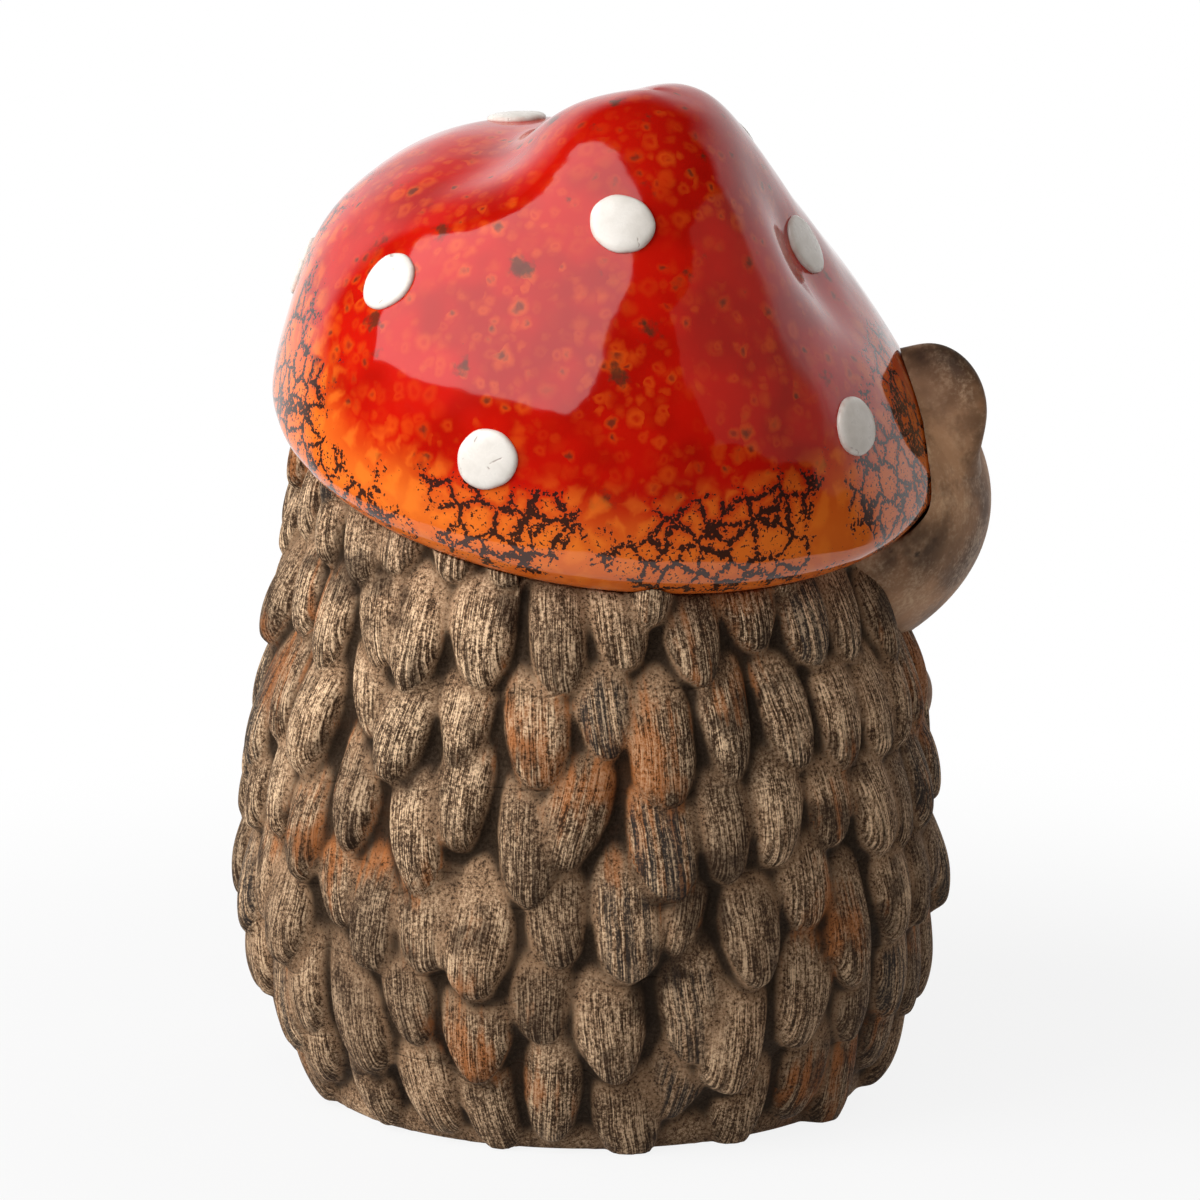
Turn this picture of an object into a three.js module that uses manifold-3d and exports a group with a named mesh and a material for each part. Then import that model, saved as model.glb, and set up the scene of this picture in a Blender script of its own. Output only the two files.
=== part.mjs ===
// A hedgehog figurine in a toadstool hat. A slip-cast barrel carries overlapping rows of quills,
// a luted face with ears, arms and feet, and a hollow glazed cap with raised spots.
// Millimetres and degrees, +Z up. The figure faces -Y and its right side is -X.
import * as THREE from "three";
import { mergeVertices } from "three/addons/utils/BufferGeometryUtils.js";
import Module from "manifold-3d";

const wasm = await Module();
wasm.setup();

// Fit between luted pieces
const SEAT_GAP = 0.3;

// Barrel: outer radius and height at five levels, from the foot ring to the collar inside the hat
const FOOT_RADIUS = 48.5;
const HIP_RADIUS = 58.2;
const HIP_HEIGHT = 16;
const WAIST_RADIUS = 63.6;
const WAIST_HEIGHT = 42;
const CHEST_RADIUS = 57.6;
const CHEST_HEIGHT = 90;
const COLLAR_RADIUS = 45;
const BODY_WALL = 5;

// Belly: the smooth swelling on the front of the barrel
const BELLY_HALF_WIDTH = 46;
const BELLY_HALF_HEIGHT = 44;
const BELLY_LEVEL = 45;
const BELLY_STANDS_PROUD = 4;

// Quill coat: strips of drop-shaped quills, laid from the foot upwards like shingles
const QUILL_LENGTH = 22.5;
const QUILL_SPACING = 13;
const QUILL_THICKNESS = 4.2;
const QUILL_ROOT_THICKNESS = 1.2;
const ROW_PITCH = 17.5;
const FIRST_TIP = 2.5;
const BELLY_EDGE = 138;
const CHEEK_EDGE = 106;
const HAT_EDGE_BEHIND = 24;
const HAT_EDGE_LEFT = -38;

// How far single quills stray: sideways as a share of their spacing, along in millimetres
const ROW_STAGGER = 0.25;
const SIDE_SCATTER = 0.12;
const LEAN_SCATTER = 0.24;
const TIP_SCATTER = 1.2;
const SLIDE_SCATTER = 3.6;
const THICKNESS_SCATTER = 0.5;
const TRAITS = { side: 1, lean: 2, reach: 3, thickness: 4, slide: 7 };

// Stations across one quill, from its left crease: share of the way to a crease, reach and body of its own
const QUILL_STATIONS = [
  { place: -1, reach: 0.55, body: 0.35 },
  { place: -0.64, reach: 0.94, body: 0.82 },
  { place: 0, reach: 1, body: 1 },
  { place: 0.64, reach: 0.94, body: 0.82 },
];

// The crown of a quill from its root to its tip: shares of its reach and of its thickness
const QUILL_CREST = [0.66, 1];
const QUILL_SHOULDER = [0.88, 0.92];
const QUILL_TIP = [1, 0.3];

// Head: an ellipsoid on the front of the barrel, with a tapered snout
const HEAD_HALF_WIDTH = 65;
const HEAD_HALF_DEPTH = 46;
const HEAD_HALF_HEIGHT = 39;
const HEAD_FORWARD = 31;
const HEAD_LEVEL = 114;
const SNOUT_REACH = 19;
const SNOUT_ROOT_RADIUS = 35;
const SNOUT_TIP_RADIUS = 8.5;
const SNOUT_DROP = 9;
const SNOUT_TAPER = 1.3;
const CHEEK_SPREAD = 27;
const CHEEK_FORWARD = 33;
const CHEEK_DROP = 13;
const CHEEK_HALF_WIDTH = 13;
const CHEEK_HALF_DEPTH = 11.5;
const NOSE_RADIUS = 7;
const EYE_RADIUS = 6.5;
const EYE_INSET = 3;
const EYE_TURN = 65;
const EYE_LIFT = 19;

// Ears: cupped discs that stand out of the head beside the hat
const EAR_RADIUS = 12.5;
const EAR_HALF_THICKNESS = 5;
const EAR_CUP_RADIUS = 9;
const EAR_CUP_DEPTH = 3;
const EAR_TURN = 10;
const EAR_LIFT = 33;
const EAR_DROP = 2.2;

// Arms lie from the shoulders to the belly, feet stand below it
const ARM_RADIUS = 8.5;
const WRIST_RADIUS = 6.5;
const PAW_RADIUS = 8;
const SHOULDER_LEVEL = 80;
const SHOULDER_TURN = 40;
const ELBOW_SHARE = 0.5;
const ELBOW_STANDS_PROUD = 4;
const ELBOW_DROP = 3;
const PAW_LEVEL = 52;
const PAW_TURN = 15;
const LIMB_END_BULGE = 2;
const FOOT_HALF_WIDTH = 12;
const FOOT_HALF_LENGTH = 17;
const FOOT_HEIGHT = 11;
const FOOT_SPREAD = 17;
const FOOT_FORWARD = 5.7;
const TOE_RADIUS = 5;
const TOE_LIFT = 2.5;
const TOE_PLACES = [[-7, 9.5], [0, 14.5], [7, 9.5]];

// Hat: a lobed toadstool cap with a drawn-up tip, tilted on the collar
const HAT_RADIUS = 64.5;
const HAT_RISE = 78;
const HAT_WALL = 6;
const HAT_MOUTH_RADIUS = 32;
const HAT_LEVEL = 124;
const HAT_SHIFT_X = -2.3;
const HAT_SHIFT_Y = -1.9;
const HAT_TILT = 19.5;
const HAT_TILT_TOWARDS = 60;
const TIP_LEAN_X = -2.3;
const TIP_LEAN_Y = 3.2;
const LOBE_ANGLE = -85;
const LOBE_SPREAD = 62;
const FLANK_ANGLE = 135;
const FLANK_SPREAD = 55;

// The hat's side profiles, as shares of its radius and of its rise: over the ridge, the flank and the lobe
const RIDGE_SIDE = [
  [0.88, 0], [0.985, 0.05], [1, 0.15], [0.885, 0.41], [0.735, 0.58],
  [0.55, 0.74], [0.355, 0.885], [0.195, 0.968], [0, 1],
];
const FLANK_SIDE = [
  [0.88, 0], [0.985, 0.05], [0.99, 0.14], [0.81, 0.36], [0.65, 0.513],
  [0.495, 0.667], [0.355, 0.82], [0.2, 0.952], [0, 1],
];
const LOBE_SIDE = [
  [0.88, 0], [0.985, 0.05], [1.01, 0.16], [0.955, 0.43], [0.84, 0.59],
  [0.665, 0.712], [0.43, 0.79], [0.215, 0.915], [0, 1],
];

// Hollows pressed in the hat: angle round it, share up its side, reach each way and depth
const VALLEY_DEPTH = 3;
const DENT_DEPTH = 4;
const HAT_HOLLOWS = [
  { angle: -38, share: 0.7, reach: 26, along: 0.1, depth: VALLEY_DEPTH },
  { angle: 113, share: 0.6, reach: 17, along: 0.13, depth: DENT_DEPTH },
];

// White dabs on the hat: angle round it and share up its side
const SPOT_RADIUS = 6.2;
const SPOT_RISE = 1.3;
const SPOT_CROWN_RADIUS = 5;
const SPOT_CROWN_RISE = 1.1;
const SPOT_EDGE_RISE = 0.4;
const SPOT_PLACES = [
  [-19.5, 0.474], [33.5, 0.672], [17.5, 0.323], [92, 0.36], [126, 0.61], [-101, 0.65],
  [-62, 0.33], [-118, 0.34], [-168, 0.5], [-160, 0.26], [180, 0.72],
];

// Facets: sides and levels of the round forms
const BODY_SIDES = 36;
const BODY_LEVELS = 8;
const HAT_SIDES = 36;
const HAT_LEVELS = 13;
const PLAIN_SIDES = 16;
const PLAIN_LEVELS = 6;
const BALL_SIDES = 24;
const BALL_LEVELS = 12;
const BEAD_SIDES = 12;
const BEAD_LEVELS = 6;
const MERGE_DISTANCE = 1e-5;
const NEAR_SHARE = 0.01;
const NEAR_ANGLE = 1;
const OVERCUT = 5;

const radians = THREE.MathUtils.degToRad;

// A heading round the figure: 0 looks out of its back, positive turns to its right side
function heading(angle) {
  return new THREE.Vector3(-Math.sin(radians(angle)), Math.cos(radians(angle)), 0);
}

// A bell curve of the angle or share away from its middle
function bell(away, spread) {
  return Math.exp(-((away / spread) ** 2));
}

// The angle brought between -180 and 180
function wrapped(angle) {
  return THREE.MathUtils.euclideanModulo(angle + 180, 360) - 180;
}

// A repeatable scatter between -1 and 1 for one quill's trait
function scatter(row, index, trait) {
  const wave = Math.sin(row * 127.1 + index * 311.7 + trait * 74.7) * 43758.5453;
  return 2 * (wave - Math.floor(wave)) - 1;
}

// A solid for joining and cutting, from a closed geometry
function solidOf(geometry) {
  const bare = new THREE.BufferGeometry();
  bare.setAttribute("position", geometry.getAttribute("position"));
  bare.setIndex(geometry.getIndex());
  const merged = mergeVertices(bare, MERGE_DISTANCE);
  const corners = merged.getIndex().array;
  const faces = [];
  for (let start = 0; start < corners.length; start += 3) {
    const [a, b, c] = corners.slice(start, start + 3);
    if (a !== b && b !== c && c !== a) {
      faces.push(a, b, c);
    }
  }
  const vertProperties = new Float32Array(merged.getAttribute("position").array);
  return new wasm.Manifold(new wasm.Mesh({ numProp: 3, vertProperties, triVerts: new Uint32Array(faces) }));
}

// The geometry of a finished solid, without the offcuts that cutting leaves loose
function geometryOf(solid) {
  const pieces = solid.decompose().sort((one, other) => other.volume() - one.volume());
  const mesh = pieces[0].getMesh();
  const geometry = new THREE.BufferGeometry();
  geometry.setAttribute("position", new THREE.BufferAttribute(new Float32Array(mesh.vertProperties), 3));
  geometry.setIndex(new THREE.BufferAttribute(new Uint32Array(mesh.triVerts), 1));
  geometry.computeVertexNormals();
  return geometry;
}

// A closed skin over a stack of rings with equal counts of points, each end drawn to one point
function loft(rings, startPoint, endPoint) {
  const sides = rings[0].length;
  const points = [...rings.flat(), startPoint, endPoint];
  const start = points.length - 2;
  const end = points.length - 1;
  const top = (rings.length - 1) * sides;
  const faces = [];
  for (let side = 0; side < sides; side += 1) {
    const next = (side + 1) % sides;
    for (let level = 0; level < top; level += sides) {
      const low = level + side;
      const lowNext = level + next;
      faces.push(low, lowNext, lowNext + sides, low, lowNext + sides, low + sides);
    }
    faces.push(next, side, start, top + side, top + next, end);
  }
  const geometry = new THREE.BufferGeometry().setFromPoints(points);
  geometry.setIndex(faces);
  return geometry;
}

// An ellipsoid solid about a middle
function ellipsoid(middle, halfX, halfY, halfZ, sides = BALL_SIDES, levels = BALL_LEVELS) {
  const geometry = new THREE.SphereGeometry(1, sides, levels);
  geometry.rotateX(Math.PI / 2);
  geometry.scale(halfX, halfY, halfZ);
  geometry.translate(middle.x, middle.y, middle.z);
  return solidOf(geometry);
}

// Where the hat sits: its rim plane's middle, tilted towards one heading
const hatTiltAxis = new THREE.Vector3(0, 0, 1).cross(heading(HAT_TILT_TOWARDS));
const hatTurn = new THREE.Quaternion().setFromAxisAngle(hatTiltAxis, radians(HAT_TILT));
const hatMiddle = new THREE.Vector3(HAT_SHIFT_X, HAT_SHIFT_Y, HAT_LEVEL);
const hatPlace = new THREE.Matrix4().compose(hatMiddle, hatTurn, new THREE.Vector3(1, 1, 1));

// The barrel's profile; its collar ends inside the hat, above the highest point of the tilted seat
const collarHeight = HAT_LEVEL + HAT_RADIUS * Math.tan(radians(HAT_TILT));
const barrelProfile = new THREE.SplineCurve([
  new THREE.Vector2(FOOT_RADIUS, 0),
  new THREE.Vector2(HIP_RADIUS, HIP_HEIGHT),
  new THREE.Vector2(WAIST_RADIUS, WAIST_HEIGHT),
  new THREE.Vector2(CHEST_RADIUS, CHEST_HEIGHT),
  new THREE.Vector2(COLLAR_RADIUS, collarHeight),
]);
const barrelLength = barrelProfile.getLength();

// A point of the barrel's skin at a heading and a distance up its profile
function onBarrel(angle, distance) {
  const { x: radius, y: height } = barrelProfile.getPointAt(Math.min(1, distance / barrelLength));
  return heading(angle).multiplyScalar(radius).setZ(height);
}

// A point of the barrel's skin at a heading and a height
function onBarrelAt(angle, height) {
  let distance = 0;
  while (distance < barrelLength && onBarrel(angle, distance).z < height) {
    distance += 1;
  }
  return onBarrel(angle, distance);
}

// The barrel as a turned solid, swollen by the growth
function barrelSolid(growth, sides, levels) {
  const wall = barrelProfile.getSpacedPoints(levels);
  const profile = wall.map((point) => new THREE.Vector2(point.x + growth, point.y));
  const top = profile[profile.length - 1].y;
  const outline = [new THREE.Vector2(0, -OVERCUT), new THREE.Vector2(FOOT_RADIUS + growth, -OVERCUT)];
  outline.push(...profile, new THREE.Vector2(0, top));
  const geometry = new THREE.LatheGeometry(outline, sides);
  geometry.rotateX(Math.PI / 2);
  return solidOf(geometry);
}

// The belly swelling on the barrel's front
function bellySolid(growth) {
  const setBack = BELLY_HALF_WIDTH - WAIST_RADIUS - BELLY_STANDS_PROUD;
  const middle = new THREE.Vector3(0, setBack, BELLY_LEVEL);
  const half = BELLY_HALF_WIDTH + growth;
  return ellipsoid(middle, half, half, BELLY_HALF_HEIGHT + growth);
}

// Everything below the table, for cutting feet and foot ring flat
function belowTable() {
  const size = 4 * WAIST_RADIUS;
  const geometry = new THREE.BoxGeometry(size, size, size);
  geometry.translate(0, 0, -size / 2);
  return solidOf(geometry);
}

// The hat's side profiles as smooth curves
const asCurve = (outline) => new THREE.SplineCurve(outline.map(([x, y]) => new THREE.Vector2(x, y)));
const ridgeCurve = asCurve(RIDGE_SIDE);
const flankCurve = asCurve(FLANK_SIDE);
const lobeCurve = asCurve(LOBE_SIDE);

// A point of the hat's skin in its own frame, at an angle round it and a share up its side
function onHat(angle, share, growth = 0) {
  const lobe = bell(wrapped(angle - LOBE_ANGLE), LOBE_SPREAD);
  const flank = bell(wrapped(angle - FLANK_ANGLE), FLANK_SPREAD);
  const ridge = Math.max(0, 1 - lobe - flank);
  const whole = lobe + flank + ridge;
  const side = new THREE.Vector2();
  side.addScaledVector(lobeCurve.getPoint(share), lobe / whole);
  side.addScaledVector(flankCurve.getPoint(share), flank / whole);
  side.addScaledVector(ridgeCurve.getPoint(share), ridge / whole);
  let pressed = 0;
  for (const hollow of HAT_HOLLOWS) {
    const across = bell(wrapped(angle - hollow.angle), hollow.reach);
    pressed += hollow.depth * across * bell(share - hollow.share, hollow.along);
  }
  const radius = side.x * (HAT_RADIUS + growth) - pressed * side.x;
  const height = side.y * (HAT_RISE + 2 * growth) - growth - pressed * side.y;
  const lean = side.y ** 2;
  const point = heading(angle).multiplyScalar(radius);
  return point.add(new THREE.Vector3(TIP_LEAN_X * lean, TIP_LEAN_Y * lean, height));
}

// The hat as a full solid in its own frame, swollen by the growth
function hatGeometry(growth, sides = HAT_SIDES, levels = HAT_LEVELS) {
  const rings = [];
  for (let level = 0; level < levels; level += 1) {
    const ring = [];
    for (let side = 0; side < sides; side += 1) {
      ring.push(onHat((360 * side) / sides, level / levels, growth));
    }
    rings.push(ring);
  }
  return loft(rings, new THREE.Vector3(0, 0, -growth), onHat(0, 1, growth));
}

// The hat in the figure's frame, for cutting what it rests on
function hatCutter() {
  return solidOf(hatGeometry(SEAT_GAP).applyMatrix4(hatPlace));
}

// The hollow hat: an even wall and a flat underside with a round mouth
function hatSolid() {
  const mouthDepth = 4 * HAT_WALL;
  const mouth = new THREE.CylinderGeometry(HAT_MOUTH_RADIUS, HAT_MOUTH_RADIUS, mouthDepth, BALL_SIDES);
  mouth.rotateX(Math.PI / 2);
  const hollow = solidOf(hatGeometry(-HAT_WALL, PLAIN_SIDES, PLAIN_LEVELS));
  return solidOf(hatGeometry(0)).subtract(hollow).subtract(solidOf(mouth));
}

// A level ring of points at a height
function levelRing(radius, height) {
  const ring = [];
  for (let side = 0; side < BEAD_SIDES; side += 1) {
    ring.push(heading((360 * side) / BEAD_SIDES).multiplyScalar(radius).setZ(height));
  }
  return ring;
}

// One dab on the hat, domed and with a soft edge, seated on the hat's skin
function spotSolid(angle, share) {
  const middle = onHat(angle, share);
  const along = onHat(angle, share + NEAR_SHARE).sub(onHat(angle, share - NEAR_SHARE));
  const round = onHat(angle + NEAR_ANGLE, share).sub(onHat(angle - NEAR_ANGLE, share));
  const outward = round.cross(along).normalize();
  const rings = [
    levelRing(SPOT_RADIUS, -SPOT_RISE),
    levelRing(SPOT_RADIUS, SPOT_EDGE_RISE),
    levelRing(SPOT_CROWN_RADIUS, SPOT_CROWN_RISE),
  ];
  const geometry = loft(rings, new THREE.Vector3(0, 0, -SPOT_RISE), new THREE.Vector3(0, 0, SPOT_RISE));
  geometry.applyQuaternion(new THREE.Quaternion().setFromUnitVectors(new THREE.Vector3(0, 0, 1), outward));
  geometry.translate(middle.x, middle.y, middle.z);
  return solidOf(geometry).subtract(solidOf(hatGeometry(SEAT_GAP)));
}

// The middle of the head, and a point of its skin: turn 0 is its side, 90 its front
const headMiddle = new THREE.Vector3(0, -HEAD_FORWARD, HEAD_LEVEL);
function onHead(side, turn, lift) {
  const level = Math.cos(radians(lift));
  const x = side * level * Math.cos(radians(turn)) * HEAD_HALF_WIDTH;
  const y = -level * Math.sin(radians(turn)) * HEAD_HALF_DEPTH;
  return new THREE.Vector3(x, y, Math.sin(radians(lift)) * HEAD_HALF_HEIGHT).add(headMiddle);
}

// The way the figure faces, and the tip of the snout, which carries the nose
const forward = new THREE.Vector3(0, -1, 0);
const noseReach = HEAD_FORWARD + HEAD_HALF_DEPTH + SNOUT_REACH;
const noseMiddle = new THREE.Vector3(0, -noseReach, HEAD_LEVEL - SNOUT_DROP);

// The snout tapers from inside the head to the nose
function snoutSolid(growth) {
  const rings = [];
  const root = new THREE.Vector3(0, -HEAD_FORWARD, HEAD_LEVEL - SNOUT_DROP);
  for (let level = 0; level <= BEAD_LEVELS; level += 1) {
    const share = level / BEAD_LEVELS;
    const radius = THREE.MathUtils.lerp(SNOUT_ROOT_RADIUS, SNOUT_TIP_RADIUS, share ** SNOUT_TAPER) + growth;
    const middle = root.clone().lerp(noseMiddle, share);
    const ring = [];
    for (let side = 0; side < PLAIN_SIDES; side += 1) {
      const spoke = new THREE.Vector3(radius, 0, 0);
      ring.push(spoke.applyAxisAngle(forward, (2 * Math.PI * side) / PLAIN_SIDES).add(middle));
    }
    rings.push(ring);
  }
  return solidOf(loft(rings, root, noseMiddle.clone().addScaledVector(forward, growth)));
}

// A round cheek beside the snout
function cheekSolid(side, growth) {
  const middle = headMiddle.clone().add(new THREE.Vector3(side * CHEEK_SPREAD, -CHEEK_FORWARD, -CHEEK_DROP));
  const depth = CHEEK_HALF_DEPTH + growth;
  return ellipsoid(middle, CHEEK_HALF_WIDTH + growth, depth, depth, BEAD_SIDES, BEAD_LEVELS);
}

// The head's outer form, swollen by the growth
function headForm(growth) {
  const halfX = HEAD_HALF_WIDTH + growth;
  const halfY = HEAD_HALF_DEPTH + growth;
  const halfZ = HEAD_HALF_HEIGHT + growth;
  const skull = ellipsoid(headMiddle, halfX, halfY, halfZ).add(snoutSolid(growth));
  return skull.add(cheekSolid(1, growth)).add(cheekSolid(-1, growth));
}

// A round bead for an eye, the nose or a toe, swollen by the growth
function beadSolid(middle, radius, growth) {
  const size = radius + growth;
  return ellipsoid(middle, size, size, size, BEAD_SIDES, BEAD_LEVELS);
}

// A cupped ear that stands out of the head's side and faces forward
function earSolid(side) {
  const middle = onHead(side, EAR_TURN, EAR_LIFT).sub(new THREE.Vector3(0, 0, EAR_DROP));
  const cupMiddle = middle.clone().add(new THREE.Vector3(side * EAR_CUP_DEPTH / 2, -EAR_HALF_THICKNESS, 0));
  const disc = ellipsoid(middle, EAR_RADIUS, EAR_HALF_THICKNESS, EAR_RADIUS, PLAIN_SIDES, BEAD_LEVELS);
  const cup = ellipsoid(cupMiddle, EAR_CUP_RADIUS, EAR_CUP_DEPTH, EAR_CUP_RADIUS, BEAD_SIDES, BEAD_LEVELS);
  return disc.subtract(cup);
}

// An arm that tapers from the shoulder to the wrist and swells to a rounded paw
function armSolid(side, growth) {
  const shoulder = onBarrelAt(side * (180 - SHOULDER_TURN), SHOULDER_LEVEL);
  const paw = onBarrelAt(side * (180 - PAW_TURN), PAW_LEVEL).addScaledVector(forward, BELLY_STANDS_PROUD);
  const elbow = shoulder.clone().lerp(paw, ELBOW_SHARE);
  const outside = new THREE.Vector3(elbow.x, elbow.y, 0).normalize();
  elbow.addScaledVector(outside, ELBOW_STANDS_PROUD).setZ(elbow.z - ELBOW_DROP);
  const path = new THREE.CatmullRomCurve3([shoulder, elbow, paw]);
  const girths = new THREE.SplineCurve(
    [ARM_RADIUS / 2, ARM_RADIUS, WRIST_RADIUS, WRIST_RADIUS, PAW_RADIUS, PAW_RADIUS / 2]
      .map((radius) => new THREE.Vector2(radius, 0)),
  );
  const steps = 2 * BEAD_LEVELS;
  const rings = [];
  for (let step = 0; step <= steps; step += 1) {
    const middle = path.getPointAt(step / steps);
    const along = path.getTangentAt(step / steps);
    const across = along.clone().cross(outside).normalize();
    const radius = girths.getPoint(step / steps).x + growth;
    const ring = [];
    for (let corner = 0; corner < BEAD_SIDES; corner += 1) {
      const spoke = across.clone().applyAxisAngle(along, (2 * Math.PI * corner) / BEAD_SIDES);
      ring.push(spoke.multiplyScalar(radius).add(middle));
    }
    rings.push(ring);
  }
  const bulge = LIMB_END_BULGE + growth;
  const shoulderEnd = shoulder.clone().addScaledVector(path.getTangentAt(0), -bulge);
  const pawEnd = paw.clone().addScaledVector(path.getTangentAt(1), bulge);
  return solidOf(loft(rings, shoulderEnd, pawEnd));
}

// A foot with three toes, before it is cut flat and fitted to the belly
function footSolid(side) {
  const middle = onBarrelAt(180, 0).addScaledVector(forward, FOOT_FORWARD).setX(side * FOOT_SPREAD);
  let foot = ellipsoid(middle, FOOT_HALF_WIDTH, FOOT_HALF_LENGTH, FOOT_HEIGHT, PLAIN_SIDES, BEAD_LEVELS);
  for (const [sideways, reach] of TOE_PLACES) {
    const tip = middle.clone().add(new THREE.Vector3(sideways, -reach, TOE_LIFT));
    foot = foot.add(beadSolid(tip, TOE_RADIUS, 0));
  }
  return foot;
}

// A strip's straight back: its roots seat on the barrel, its tips ride over the roots of the strip below
const stripLength = QUILL_LENGTH + 2 * TIP_SCATTER;
const coveredShare = (stripLength - ROW_PITCH) / stripLength;
const coveredSwell = Math.min(1, coveredShare / QUILL_CREST[0]);
const thickest = QUILL_THICKNESS + THICKNESS_SCATTER;
const underTip = THREE.MathUtils.lerp(QUILL_ROOT_THICKNESS, thickest, coveredSwell) + SEAT_GAP;
const tipLift = SEAT_GAP + underTip / (1 - coveredShare);
function stripBack(row) {
  const tipDistance = FIRST_TIP + row * ROW_PITCH;
  const root = onBarrel(0, tipDistance + stripLength);
  const tip = onBarrel(0, tipDistance);
  const outward = new THREE.Vector3(0, root.z - tip.z, tip.y - root.y).normalize();
  root.addScaledVector(outward, SEAT_GAP);
  tip.addScaledVector(outward, tipLift);
  const down = tip.clone().sub(root).normalize();
  return { root, tip, down, outward: new THREE.Vector3(0, -down.z, down.y) };
}

// The traits of the quills in a strip: rows are staggered, and each quill strays a little from its place
function quillsOf(row, fromAngle, toAngle) {
  const { root, tip } = stripBack(row);
  const count = Math.ceil((radians(toAngle - fromAngle) * Math.max(root.y, tip.y)) / QUILL_SPACING);
  const step = (toAngle - fromAngle) / count;
  const stagger = row % 2 === 0 ? -ROW_STAGGER : ROW_STAGGER;
  const quills = [];
  for (let index = 0; index < count; index += 1) {
    const slide = SLIDE_SCATTER * scatter(row, index, TRAITS.slide);
    quills.push({
      angle: fromAngle + (index + 0.5 + stagger + SIDE_SCATTER * scatter(row, index, TRAITS.side)) * step,
      step,
      lean: LEAN_SCATTER * step * scatter(row, index, TRAITS.lean),
      reach: QUILL_LENGTH + TIP_SCATTER * (1 + scatter(row, index, TRAITS.reach)) + slide,
      thickness: QUILL_THICKNESS + THICKNESS_SCATTER * scatter(row, index, TRAITS.thickness),
    });
  }
  return quills;
}

// One strip of quills as a single skin round the barrel, swollen by the growth
function quillStrip(row, fromAngle, toAngle, growth) {
  const { root, down, outward } = stripBack(row);
  const upright = new THREE.Vector3(0, 0, 1);
  const quills = quillsOf(row, fromAngle, toAngle);
  const axisAt = (index, along) => {
    const nearest = THREE.MathUtils.clamp(index, 0, quills.length - 1);
    const { angle, step, lean } = quills[nearest];
    return angle + (index - nearest) * step + (lean * along) / QUILL_LENGTH;
  };
  const section = (index, station) => {
    const quill = quills[index];
    const reach = quill.reach * station.reach + growth;
    const body = quill.thickness * station.body + growth;
    const corners = [
      [-growth, Math.min(QUILL_ROOT_THICKNESS, body) + growth],
      ...[QUILL_CREST, QUILL_SHOULDER, QUILL_TIP].map(([along, rise]) => [along * reach, rise * body]),
      [-growth, -growth],
    ];
    return corners.map(([along, rise]) => {
      const point = root.clone().addScaledVector(down, along).addScaledVector(outward, rise);
      const axis = axisAt(index, along);
      const crease = (axis + axisAt(index + Math.sign(station.place), along)) / 2;
      const turn = THREE.MathUtils.lerp(axis, crease, Math.abs(station.place));
      return point.applyAxisAngle(upright, radians(turn));
    });
  };
  const rings = quills.flatMap((_, index) => QUILL_STATIONS.map((station) => section(index, station)));
  const lastCrease = { ...QUILL_STATIONS[0], place: -QUILL_STATIONS[0].place };
  rings.push(section(quills.length - 1, lastCrease));
  const middle = (ring) => ring[1].clone().lerp(ring[4], 0.5);
  return solidOf(loft(rings, middle(rings[0]), middle(rings[rings.length - 1])));
}

// Finishes: dry-brushed bisque, bare face clay, black beads, red glaze and white dabs
const QUILL_CLAY = { color: 0x6e5a48, roughness: 0.85, metalness: 0 };
const SKIN_CLAY = { color: 0x8a7660, roughness: 0.85, metalness: 0 };
const BLACK_GLAZE = { color: 0x14100e, roughness: 0.2, metalness: 0 };
const RED_GLAZE = { color: 0xb01c10, roughness: 0.15, metalness: 0 };
const WHITE_DAB = { color: 0xe9e5da, roughness: 0.5, metalness: 0 };

const figurine = new THREE.Group();
const hat = new THREE.Group();
hat.position.copy(hatMiddle);
hat.quaternion.copy(hatTurn);
figurine.add(hat);

// A finished piece, added to its group under its own name
function addPiece(parent, name, solid, finish) {
  const mesh = new THREE.Mesh(geometryOf(solid), new THREE.MeshStandardMaterial(finish));
  mesh.name = name;
  parent.add(mesh);
}

const SIDES = [[1, "left"], [-1, "right"]];
const twoDigits = (number) => String(number).padStart(2, "0");
const table = belowTable();
const hatClear = hatCutter();
const bodyClear = barrelSolid(SEAT_GAP, BODY_SIDES, BODY_LEVELS).add(bellySolid(SEAT_GAP));
const headClear = headForm(SEAT_GAP);

// The barrel with its belly, hollow from the foot ring to the seat of the hat
const hollow = barrelSolid(-BODY_WALL, PLAIN_SIDES, PLAIN_LEVELS);
const barrel = barrelSolid(0, BODY_SIDES, BODY_LEVELS).add(bellySolid(0));
addPiece(figurine, "body_shell", barrel.subtract(hollow).subtract(hatClear).subtract(table), SKIN_CLAY);

// The face, seated against the barrel and under the hat, with sockets for the eyes and the nose
let head = headForm(0).subtract(bodyClear).subtract(hatClear);
head = head.subtract(beadSolid(noseMiddle, NOSE_RADIUS, SEAT_GAP));
addPiece(figurine, "nose", beadSolid(noseMiddle, NOSE_RADIUS, 0), BLACK_GLAZE);
for (const [side, name] of SIDES) {
  const middle = onHead(side, EYE_TURN, EYE_LIFT);
  middle.add(headMiddle.clone().sub(middle).setLength(EYE_INSET));
  head = head.subtract(beadSolid(middle, EYE_RADIUS, SEAT_GAP));
  addPiece(figurine, `${name}_eye`, beadSolid(middle, EYE_RADIUS, 0).subtract(hatClear), BLACK_GLAZE);
}
addPiece(figurine, "head", head, SKIN_CLAY);

// Ears, arms and feet, in pairs
let limbsClear = headClear.add(hatClear);
for (const [side, name] of SIDES) {
  addPiece(figurine, `${name}_ear`, earSolid(side).subtract(headClear).subtract(hatClear), SKIN_CLAY);
  addPiece(figurine, `${name}_arm`, armSolid(-side, 0).subtract(bodyClear).subtract(headClear), SKIN_CLAY);
  addPiece(figurine, `${name}_foot`, footSolid(side).subtract(bodyClear).subtract(table), SKIN_CLAY);
  limbsClear = limbsClear.add(armSolid(-side, SEAT_GAP));
}

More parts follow.
